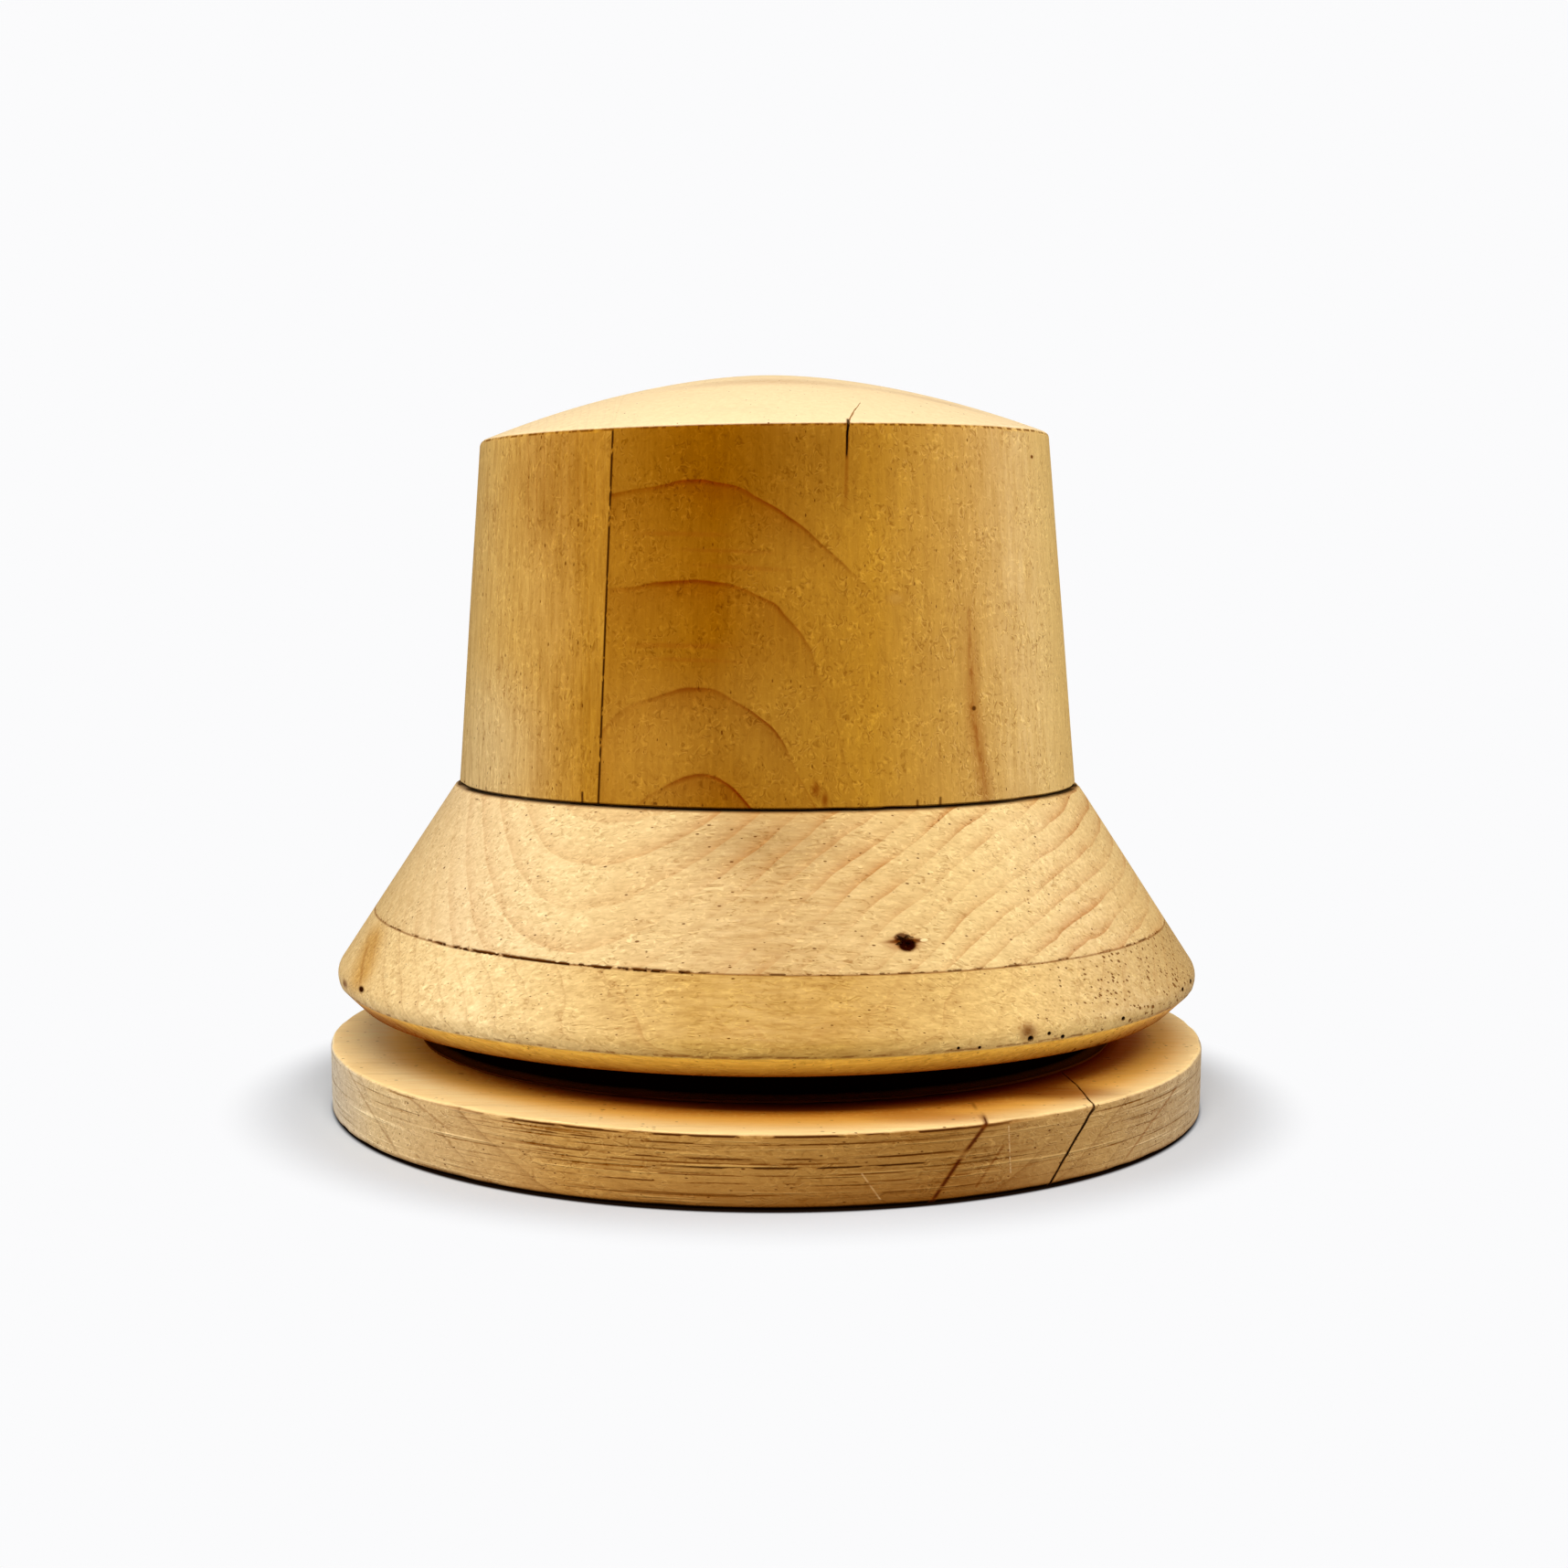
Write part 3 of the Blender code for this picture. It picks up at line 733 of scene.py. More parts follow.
def pore_marks(tree, place, wood):
    """1 in the pores: dashes along the grain, dots on end grain, larger where the grain is open."""
    short = [share if share == 1 else PORE_SHORTNESS for share in wood["grain"]]
    shortened = add(tree, "VectorMath MULTIPLY", [place, short])
    pores = None
    if "open_grain" in wood:
        zone, growth = wood["open_grain"]
        open_ends = add(tree, "Math MULTIPLY_ADD", [near(tree, place, *zone), growth, 1.0])
    for spacing, largest in wood["pores"]:
        cells = {"Vector": shortened, "Scale": 1 / (spacing * MM)}
        distance = add(tree, "TexVoronoi", cells, output="Distance")
        size = add(tree, "SeparateColor", [distance.node.outputs["Color"]])
        size = add(tree, "Math POWER", [size, 3.0])
        if "open_grain" in wood:
            size = add(tree, "Math MULTIPLY", [size, open_ends])
        edge = add(tree, "Math MULTIPLY", [size, largest / spacing])
        edge = add(tree, "Math SUBTRACT", [edge, distance])
        here = add(tree, "MapRange", [edge, 0.0, PORE_EDGE / spacing])
        pores = add(tree, "Math MAXIMUM", [pores, here]) if pores else here
    return pores


def rags_of_fibre(tree, place, dashes, plainness, wood):
    """Short wavy strokes in patches: 1 in their cuts, -1 on their backs."""
    combed = add(tree, "VectorMath MULTIPLY", [place, wood["rag_grain"]])
    scale = 1 / (wood["rag_size"] * MM)
    rags = add(tree, "TexNoise", {"Vector": combed, "Scale": scale, "Detail": 1.0, "Distortion": 0.6})
    waves = add(tree, "Math MULTIPLY", [rags, RAG_WAVES])
    waves = add(tree, "Math SINE", [waves])
    waves = add(tree, "Math POWER", [waves, 3.0])
    where = add(tree, "MapRange", [dashes, 0.44, 0.56])
    patches = add(tree, "TexNoise", {"Vector": place, "Scale": 1 / RAG_PATCHES, "Detail": 1.0})
    patches = add(tree, "MapRange", [patches, *PATCH_EDGES, 0.35, 1.0])
    where = add(tree, "Math MULTIPLY", [where, patches])
    where = add(tree, "Math MULTIPLY", [where, plainness])
    return add(tree, "Math MULTIPLY", [waves, where])


def turning_lines(tree, place, plainness):
    """Fine rings that the lathe tool left, broken where later sanding took them off: dark 1, pale -1."""
    level = add(tree, "VectorMath MULTIPLY", [place, (0.02, 0.02, 1.0)])
    lines = add(tree, "TexNoise", {"Vector": level, "Scale": 1 / TURNING_PITCH, "Detail": 2.0})
    lines = add(tree, "MapRange", [lines, 0.3, 0.7, -1.0, 1.0])
    lines = add(tree, "Math POWER", [lines, 3.0])
    return add(tree, "Math MULTIPLY", [lines, plainness])


# Sizes of the wood's patterns. The fine ones are about twice as coarse as real ones, so that they show.
CLOUDS = 34.0 * MM
RING_SWAY = 30.0 * MM
RING_PATCHES = 26.0 * MM
RING_WOBBLE = 14.0 * MM
RAG_PATCHES = 11.0 * MM
LONG_FIBRES = 2.0 * MM
DASHES = 1.6 * MM
TURNING_PITCH = 0.9 * MM
FIBRES = 0.8 * MM
GRAIN_DEPTH = 0.2 * MM
TARNISH = 2.5 * MM

# Their strengths and proportions. SEASONS and its like say how dark a ring is at each share of its year.
TONE_SHARE = 0.85
PATCH_EDGES = (0.38, 0.62)
PLAIN_LOSS = 0.6
ARCH_POWER = 1.5
PORE_SHORTNESS = 0.4
PORE_EDGE = 0.1
PORE_DIRT = "#5E2800"
DIRT_AND_SHADE_RIM = "#8A4A0C"
RAG_WAVES = 23.0
IN_THE_CUTS = (0.5, 0.34, 0.15, 1.0)
SEASONS = ((0.0, 0.0), (1.0, 0.5), (0.5, 0.0), (0.8, 0.18), (0.93, 0.5), (0.975, 1.0))
BROAD_SEASONS = ((0.0, 0.0), (1.0, 0.7), (0.35, 0.0), (0.7, 0.35), (0.9, 0.8), (0.96, 1.0))
ARCH_SEASONS = ((0.0, 0.9), (1.0, 1.0), (0.02, 0.0), (0.55, 0.04), (0.8, 0.2), (0.95, 0.4), (0.985, 0.85))


def alder(name, wood):
    """Old waxed alder, turned, sanded and handled for years.

    It is satin, with a broad honey tone, soft growth rings, fine fibres along the grain, short dark
    pores and the small crossing scratches and rags of fibre that years of pinning felt leave.
    """
    finish, tree, shader = new_material(name)
    place = add(tree, "TexCoord", output="Object")
    dashes = add(tree, "TexNoise", {"Vector": place, "Scale": 1 / DASHES, "Detail": 2.0})
    stretched = add(tree, "VectorMath MULTIPLY", [place, wood["breaks"]])
    broken = add(tree, "TexNoise", {"Vector": stretched, "Scale": 1 / DASHES, "Detail": 3.0})
    plain = above(tree, place, *wood["plain_above"])
    plainness = add(tree, "Math MULTIPLY_ADD", [plain, -PLAIN_LOSS, 1.0])

    # Broad tone, the stains, painted light and painted shade under the grain, and growth rings
    colour = tone_across(tree, place, wood)
    colour = mark_wood(tree, place, colour, dashes, wood.get("zones", ()))
    rings = growth_rings(tree, place, plainness, wood)
    colour = add(tree, "Mix", {0: rings, 6: colour, 7: wood["ring_colour"]}, data_type="RGBA")

    # Fibres: soft streaks along the grain, fine ones and long ones; then rags and turning lines
    drawn = add(tree, "VectorMath MULTIPLY", [place, wood["grain"]])
    fibres = add(tree, "TexNoise", {"Vector": drawn, "Scale": 1 / FIBRES, "Detail": 2.0, "Distortion": 0.5})
    long_fibres = add(tree, "TexNoise", {"Vector": drawn, "Scale": 1 / LONG_FIBRES, "Detail": 2.0})
    curls = rags_of_fibre(tree, place, dashes, plainness, wood)
    lines = turning_lines(tree, place, plainness)
    dark = -(wood["fine"] + wood["streaks"]) / 2
    patterns = {"fine": fibres, "streaks": long_fibres, "curls": curls, "turning": lines}
    for strength, pattern in patterns.items():
        dark = add(tree, "Math MULTIPLY_ADD", [pattern, wood[strength], dark])
    dark = add(tree, "Math MULTIPLY", [dark, plainness])
    shade = add(tree, "Mix", {0: dark, 6: (1, 1, 1, 1), 7: IN_THE_CUTS}, data_type="RGBA", clamp_factor=False)
    colour = add(tree, "Mix", {0: 1.0, 6: colour, 7: shade}, data_type="RGBA", blend_type="MULTIPLY")

    # Pores, then dirt, checks, stains and painted shade
    pores = pore_marks(tree, place, wood)
    dirt = add(tree, "Math MULTIPLY", [pores, 0.8])
    colour = add(tree, "Mix", {0: dirt, 6: colour, 7: PORE_DIRT}, data_type="RGBA")
    colour = mark_wood(tree, place, colour, broken, wood.get("marks", ()), DIRT_AND_SHADE_RIM)
    tree.links.new(colour, shader.inputs["Base Color"])

    # Sheen: the dark places, dirty or painted shade alike, are dull
    gloss = add(tree, "MapRange", [long_fibres, 0.3, 0.7, 0.4, 0.55])
    tree.links.new(gloss, shader.inputs["Roughness"])
    paleness = add(tree, "RGBToBW", [colour])
    polish = add(tree, "MapRange", [paleness, 0.1, 0.6, 0.0, 0.35])
    tree.links.new(polish, shader.inputs["Specular IOR Level"])

    # Relief: raised fibres, cut lines and open pores
    relief = add(tree, "Math MULTIPLY", [fibres, 0.6])
    for pattern, strength in ((curls, -0.5), (lines, -wood["turning"])):
        relief = add(tree, "Math MULTIPLY_ADD", [pattern, strength, relief])
    relief = add(tree, "Math MULTIPLY", [relief, plainness])
    relief = add(tree, "Math MULTIPLY_ADD", [pores, -1.0, relief])
    bump = add(tree, "Bump", {"Strength": wood["relief"], "Distance": GRAIN_DEPTH, "Height": relief})
    tree.links.new(bump, shader.inputs["Normal"])
    return finish


def brass():
    """Turned brass wood screws, old: a dull brown tarnish, rubbed yellower and brighter in patches."""
    finish, tree, shader = new_material("old_brass")
    place = add(tree, "TexCoord", output="Object")
    rubbed = add(tree, "TexNoise", {"Vector": place, "Scale": 1 / TARNISH, "Detail": 4.0})
    colour = add(tree, "Mix", {0: rubbed, 6: "#8A6B33", 7: "#CBA75E"}, data_type="RGBA")
    tree.links.new(colour, shader.inputs["Base Color"])
    shader.inputs["Metallic"].default_value = 1.0
    rough = add(tree, "MapRange", [rubbed, 0.3, 0.7, 0.5, 0.3])
    tree.links.new(rough, shader.inputs["Roughness"])
    return finish


# Which way the grain runs: patterns are stretched along it
ALONG_Z = (1.0, 1.0, 0.1)
ALONG_X = (0.16, 1.0, 1.0)

# Zones and planes of the block, in millimetres, and the axes kept in lines drawn from the front or from above
ARRIS_LEAN = (-math.tan(TIP_TILT), 0, 1)
CROWN_ARRIS_HEIGHT = (CROWN_FOOT_Z + CROWN_HEIGHT) / MM
FOOT = CROWN_FOOT_Z / MM
LEDGE = BRIM_TOP_Z / MM
CROWN_GLUE = (CROWN_GLUE_NORMAL, CROWN_GLUE_POINT.dot(CROWN_GLUE_NORMAL) / MM)
BRIM_GLUE = (BRIM_GLUE_NORMAL, BRIM_GLUE_POINT.dot(BRIM_GLUE_NORMAL) / MM)
FROM_FRONT = (1, 0, 1)
FROM_ABOVE = (1, 1, 0)
SEAT = ((0, 0, (FOOT + LEDGE) / 2), (HEAD_RADIUS / MM - 1.6, HEAD_RADIUS / MM - 18.1, 40), 0.015)
UNDERSIDE = ((0, 0, 0), (BASE_RADIUS / MM - 2.6, BASE_RADIUS / MM - 19.1, 40), 0.02)
BELOW_CROWN_ARRIS = ((0, 0, 148), (2500, 2500, 61.5), 0.02)
CROWN_DIRT_AND_SEAM_SHADE = [
    ("band", (ARRIS_LEAN, CROWN_ARRIS_HEIGHT - 0.5, 0.5), "#5A2C04", 0.85, (0.45, 0.55)),
    # Painted shade: a near-black band round the crown's foot, for the shade in the seam's gap; the hidden
    # seat is left clear.
    ("band", (UP, FOOT - 0.3, 0.9), "#080301", 1.0, None, None, SEAT),
    ("band", (UP, FOOT + 1.2, 0.7), "#3A1A04", 0.8, (0.64, 0.68)),
    ("band", (*CROWN_GLUE, 0.55), "#240B01", 0.95, (0.36, 0.42), BELOW_CROWN_ARRIS),
]
DOME = (ARRIS_LEAN, CROWN_ARRIS_HEIGHT - 0.3, 0.5)
# Painted light: the dome is painted paler than the crown's wall, for the light that falls on it from above.
DOME_PAINTED_LIGHT = ("above", DOME, "#F0D2A0", 1.0)
ON_DOME = ((0, 0, 226), (200, 200, 16), 0.3)
NOWHERE = (UP, 500, 1)
ON_BASE_TOP = ((0, 0, 21.4), (600, 600, 1.9), 0.4)
UNDER_ARRIS = (UPSIDE_DOWN, -BRIM_ARRIS_Z / MM, 0.6)

# Level lines of grime on the base's wall: height, half width, colour, strength, breaks, and the middle and
# half length of the stretch that shows each
WALL_LINES = [
    (17.9, 0.35, "#4A2000", 0.9, (0.44, 0.51), -20, 85),
    (13.9, 0.38, "#4A2000", 0.9, (0.41, 0.48), -5, 90),
    (12.6, 0.34, "#5A2A02", 0.85, (0.45, 0.52), -22, 60),
    (11.5, 0.45, "#301000", 0.95, (0.4, 0.48), 20, 65),
    (9.4, 0.3, "#5A2A02", 0.8, (0.45, 0.51), 0, 70),
    (7.2, 0.36, "#4A2000", 0.85, (0.46, 0.53), 5, 85),
    (4.1, 0.34, "#4A2000", 0.8, (0.46, 0.53), 10, 80),
]

# Each board's wood, in millimetres. across, depth and pith place the middle of the rings, climb leans it,
# ring_at and pitch space the rings, and sway and wobble bend them; arches draws them on a flat-sawn face.
# grain, rag_grain and breaks stretch the fine patterns, and pores gives their spacing and largest width.
# pale and warm are its clouds, and its tones are its colours from left to right, partly painted light. zones
# are stains, painted light and painted shade under the grain, and marks, some of them painted shade, lie over
# it.
CROWN_LEFT_WOOD = dict(
    across=(1, 0, 0), depth=(0, 1, 0), climb=(0, 0, 0.02), pith=(-420, -60), pitch=2.6, ring_at=0.0,
    sway=3.0, wobble=0.6, seasons=SEASONS, ring_strength=0.45, grain=ALONG_Z, fine=0.8, streaks=1.0,
    rag_grain=(1, 1, 0.45), rag_size=2.0, curls=0.5, turning=0.04, relief=0.6,
    pores=((1.3, 0.3), (3.2, 0.36)),
    pale="#BE8E38", warm="#AE7A1E", ring_colour="#8A4800", breaks=(1, 1, 0.35), plain_above=DOME,
    tones_and_side_light=[(-98, "#D0AC6A"), (-75, "#C09344"), (-52, "#A67116")],
    zones=[
        ("spot", ((-62, -60, 196), (34, 40, 40), 0.9), "#9A6410", 0.55),
        ("spot", ((-86, -40, 112), (36, 40, 40), 0.9), "#D8BC88", 0.45),
        DOME_PAINTED_LIGHT,
    ],
    marks=CROWN_DIRT_AND_SEAM_SHADE + [
        ("line", (((-53.3, 0, 101), (-53.3, 0, 105.4)), 0.6, FROM_FRONT), "#2E1505", 0.9),
    ])
CROWN_RIGHT_WOOD = dict(
    arches=(-18.5, 9, (7.0, 3.1), (4.4, 0.9), (113, 160)), pitch=27.3, ring_at=194.0,
    ring_lifts=[(((-15, -78, 136), (50, 60, 15), 0.8), 2.8)],
    wobble=3.0, seasons=ARCH_SEASONS, ring_strength=1.7, grain=ALONG_Z, fine=0.5, streaks=0.6,
    rag_grain=(1, 1, 0.8), rag_size=2.2, curls=0.58, turning=0.04, relief=0.6,
    pores=((1.3, 0.26), (3.2, 0.36)),
    pale="#AA7614", warm="#945A00", ring_colour="#702800", breaks=(1, 1, 0.35), plain_above=DOME,
    tones_and_side_light=[(-50, "#A06A12"), (-15, "#874F00"), (30, "#B47F20"), (60, "#C29444"), (85, "#D6B064")],
    clear_figure=[(((28, -75, 190), (30, 50, 60), 0.7), 0.3), (((15, -78, 132), (15, 40, 26), 0.7), 0.1),
                  (((115, 0, 120), (108, 250, 160), 0.16), 0.04)],
    zones=[
        ("spot", ((-10, -72, 202), (64, 40, 38), 0.9), "#764200", 0.55),
        ("spot", ((-38, -80, 118), (30, 30, 34), 0.9), "#BE8A30", 0.4),
        ("spot", ((-4, -80, 126), (34, 30, 30), 0.9), "#B08028", 0.35),
        DOME_PAINTED_LIGHT,
    ],
    marks=[
        ("spot", ((-22, -63, 226), (50, 6, 16), 1.0), "#E8B478", 0.45, None, ON_DOME),
        ("spot", ((2, -31, 226), (44, 8, 16), 1.0), "#E8B478", 0.35, None, ON_DOME),
        ("spot", ((56, -30, 226), (34, 6, 16), 1.0), "#E0A868", 0.4, None, ON_DOME),
        ("band", ((0.02, 0, 1), 178.8, 0.9), "#8A4600", 0.4, None, ((-24, -75, 179), (20, 30, 5), 0.8)),
        ("band", ((0.03, 0, 1), 174.2, 0.7), "#7A3A00", 0.4, None, ((-12, -75, 174), (20, 30, 5), 0.8)),
        ("band", ((0.05, 0, 1), 169.6, 0.9), "#8A4600", 0.4, None, ((-8, -75, 169), (20, 30, 5), 0.8)),
        ("band", (UP, 148.0, 1.0), "#8A4600", 0.4, None, ((-24, -75, 148), (22, 30, 5), 0.8)),
        ("band", ((0.02, 0, 1), 143.6, 0.8), "#8A4600", 0.4, None, ((-22, -75, 143), (20, 30, 5), 0.8)),
        ("line", (((57.6, 0, 170), (59.2, 0, 130.3), (64.2, 0, 101)), 3.6, FROM_FRONT), "#A05C06", 0.5, None,
         ((61, -60, 122), (20, 40, 50), 0.9)),
        ("line", (((57.6, 0, 166), (59.2, 0, 130.3), (64.2, 0, 101)), 1.0, FROM_FRONT), "#8A4000", 0.62,
         (0.4, 0.54), ((60, -60, 130), (20, 40, 50))),
        ("spot", ((59.7, -62.1, 129.7), (1.0, 3, 1.0), 0.6), "#3A1A06", 0.9),
        ("spot", ((78.9, -33.4, 203.3), (0.8, 3, 0.8), 0.6), "#5A2404", 0.9),
        ("spot", ((36.1, -70.8, 161.4), (4.5, 6, 3.0), 0.9), "#D8AC50", 0.5),
        ("spot", ((13.6, -80.6, 108), (2.0, 4, 3.6), 0.9), "#743000", 0.8),
        ("spot", ((16.2, -80.6, 105), (1.6, 4, 3.6), 0.9), "#743000", 0.8),
        ("line", (((21.6, 0, 186), (22.2, 0, 211.5)), 0.8, FROM_FRONT), "#7A4004", 0.6, (0.3, 0.5),
         ((22, -72, 200), (6, 14, 16), 0.5)),
        # Painted shade: a near-black line in the check near the crown's arris.
        ("line", (((21.8, 0, 199), (22.2, 0, 211.5)), 0.6, FROM_FRONT), "#1C0A02", 0.95, None,
         ((22, -72, 207), (6, 12, 8), 0.4)),
        ("line", (((42.8, 0, 101), (42.8, 0, 104)), 0.6, FROM_FRONT), "#2E1505", 0.8),
        ("line", (((49.6, 0, 101), (49.6, 0, 104.5)), 0.6, FROM_FRONT), "#2E1505", 0.8),
    ] + CROWN_DIRT_AND_SEAM_SHADE)
BRIM_UPPER_WOOD = dict(
    across=(1, -0.681, 0), depth=(0, -1.5, 1), climb=(0, -0.843, 0), pith=(-16.5, 316.8), pitch=7.0,
    ring_at=171.5, sway=7.0, wobble=1.8, seasons=BROAD_SEASONS, ring_strength=0.78, grain=ALONG_X, fine=0.8,
    clear_figure=[(((-72, -70, 80), (70, 60, 60), 0.8), 0.32), (((-122, -10, 80), (56, 90, 60), 0.5), 0.12),
                  (((-8, -95, 72), (66, 40, 26), 0.9), 0.08)], streaks=0.6, breaks=(0.5, 0.5, 1),
    rag_grain=(0.24, 1, 1), rag_size=1.7, curls=0.5, turning=0.1, relief=0.7, pores=((1.3, 0.3), (3.5, 0.42)),
    pale="#DDBC82", warm="#CCA264", ring_colour="#A8600E", plain_above=NOWHERE,
    tones_and_side_light=[(-125, "#D2AE70"), (-90, "#DDBD8A"), (-55, "#DEBE84"), (0, "#C0985A"), (60, "#DEBC7C"),
           (125, "#CCA664")],
    zones=[
        ("spot", ((-1, -86, 93), (34, 30, 12), 0.9), "#A07C46", 0.55),
    ],
    marks=[
        # Painted shade: a near-black band round the brim's top edge, for the shade in the seam's gap; the
        # hidden seat is left clear.
        ("band", (UP, LEDGE + 0.3, 1.1), "#080301", 1.0, None, None, SEAT),
        ("band", (UP, LEDGE - 1.6, 0.7), "#4A2404", 0.7, (0.64, 0.68)),
        ("band", (*BRIM_GLUE, 0.45), "#7A4810", 0.6),
        ("band", (*BRIM_GLUE, 0.8), "#2A1002", 1.0, (0.4, 0.47), ((-58, -90, 60), (40, 300, 300), 0.12)),
        ("band", (*BRIM_GLUE, 0.8), "#3A1A04", 0.85, (0.5, 0.56)),
        ("spot", ((37.9, -100.1, 67.9), (9.0, 6, 3.0), 0.9), "#A2520A", 0.7),
        ("spot", ((38.4, -100.1, 68.4), (8.5, 5, 0.9), 0.6), "#481400", 0.9),
        ("spot", ((37.0, -100.1, 69.2), (3.0, 5, 1.8), 0.4), "#3A0C00", 0.9, (0.3, 0.42)),
        ("spot", ((38.4, -100.1, 67.4), (3.4, 5, 2.2), 0.4), "#280600", 1.0, (0.3, 0.42)),
        ("spot", ((43.2, -98.1, 68.4), (1.6, 3, 0.6), 0.5), "#FFE0A0", 0.9),
    ])
BRIM_LOWER_WOOD = dict(
    across=(0, 1, 0), depth=UP, climb=(0.03, 0, 0), pith=(20, -60), pitch=4.5, ring_at=0.0,
    sway=8.0, wobble=2.0, seasons=SEASONS, ring_strength=0.4, grain=ALONG_X, fine=1.0, streaks=0.8,
    rag_grain=(0.26, 1, 1), rag_size=1.7, curls=0.48, turning=0.1, relief=0.7,
    pores=((1.0, 0.24), (3.5, 0.36)),
    open_grain=(((125, -30, 48), (85, 100, 60), 0.5), 1.3), breaks=(0.5, 0.5, 1), plain_above=NOWHERE,
    pale="#D6AE66", warm="#C4984C", ring_colour="#9A5A14",
    tones_and_side_light=[(-138, "#DBB678"), (-85, "#E6C68C"), (-20, "#BE9244"), (20, "#BC8E40"), (70, "#D9B36E"),
           (138, "#AC8850")],
    zones=[
        ("line", (((-122, 0, 44), (-119.5, 0, 60)), 6.5, FROM_FRONT), "#BC8428", 0.7, None,
         ((-121, -45, 52), (20, 22, 14), 0.6)),
        # Painted reflected light: the underside below the arris is painted bright orange, for the warm light
        # thrown up from the base's top.
        ("above", UNDER_ARRIS, "#FFC548", 1.0),
        # Painted shade: darker patches on the bevel at the left and right, and the bevel darkening to brown
        # towards the rope groove.
        ("spot", ((-114, -50, 33), (38, 60, 9.5), 0.5), "#A05010", 0.8),
        ("spot", ((114, -50, 33), (36, 60, 9.5), 0.5), "#A8560E", 0.6),
        ("above", (UPSIDE_DOWN, -BEVEL_END_Z / MM - 5.8, 5.2), "#7A3600", 0.95),
    ],
    marks=[
        ("band", (*BRIM_GLUE, 0.35), "#7A4810", 0.6),
        ("band", (*BRIM_GLUE, 0.5), "#2A1002", 1.0, (0.42, 0.5), ((-58, -90, 60), (40, 300, 300), 0.12)),
        ("band", (UP, BRIM_ARRIS_Z / MM + 0.3, 0.5), "#6A3404", 0.6, (0.48, 0.56)),
        # Painted shade: the rope groove is painted near-black below the bevel, and dark red at the neck's
        # foot.
        ("above", (UPSIDE_DOWN, -BEVEL_END_Z / MM - 0.6, 1.2), "#0A0100", 1.0),
        ("above", (UPSIDE_DOWN, -23.0, 2.0), "#5A0A04", 0.8),
        ("spot", ((71.4, -102.2, 43.9), (4.5, 5, 3.6), 0.9), "#643004", 0.85),
        ("line", (((-121, 0, 44.5), (-122, 0, 52), (-120.5, 0, 59)), 0.7, FROM_FRONT), "#9A6214", 0.4, None,
         ((-121, -50, 52), (10, 14, 9), 0.4)),
        ("spot", ((-120.6, -57, 45.0), (2.2, 4, 1.3), 0.6), "#2A0C00", 1.0),
        ("spot", ((-129, -42, 43.4), (5, 6, 2.0), 0.8), "#5A2404", 0.8),
    ] + [
        # Painted shade: each worm hole and a thin rim round it are darkened to near-black.
        ("spot", ((x, y, z), (size + 0.2, 3, size + 0.2), 0.4), "#1A0601", 1.0)
        for x, y, z, size in WORM_HOLES
    ])
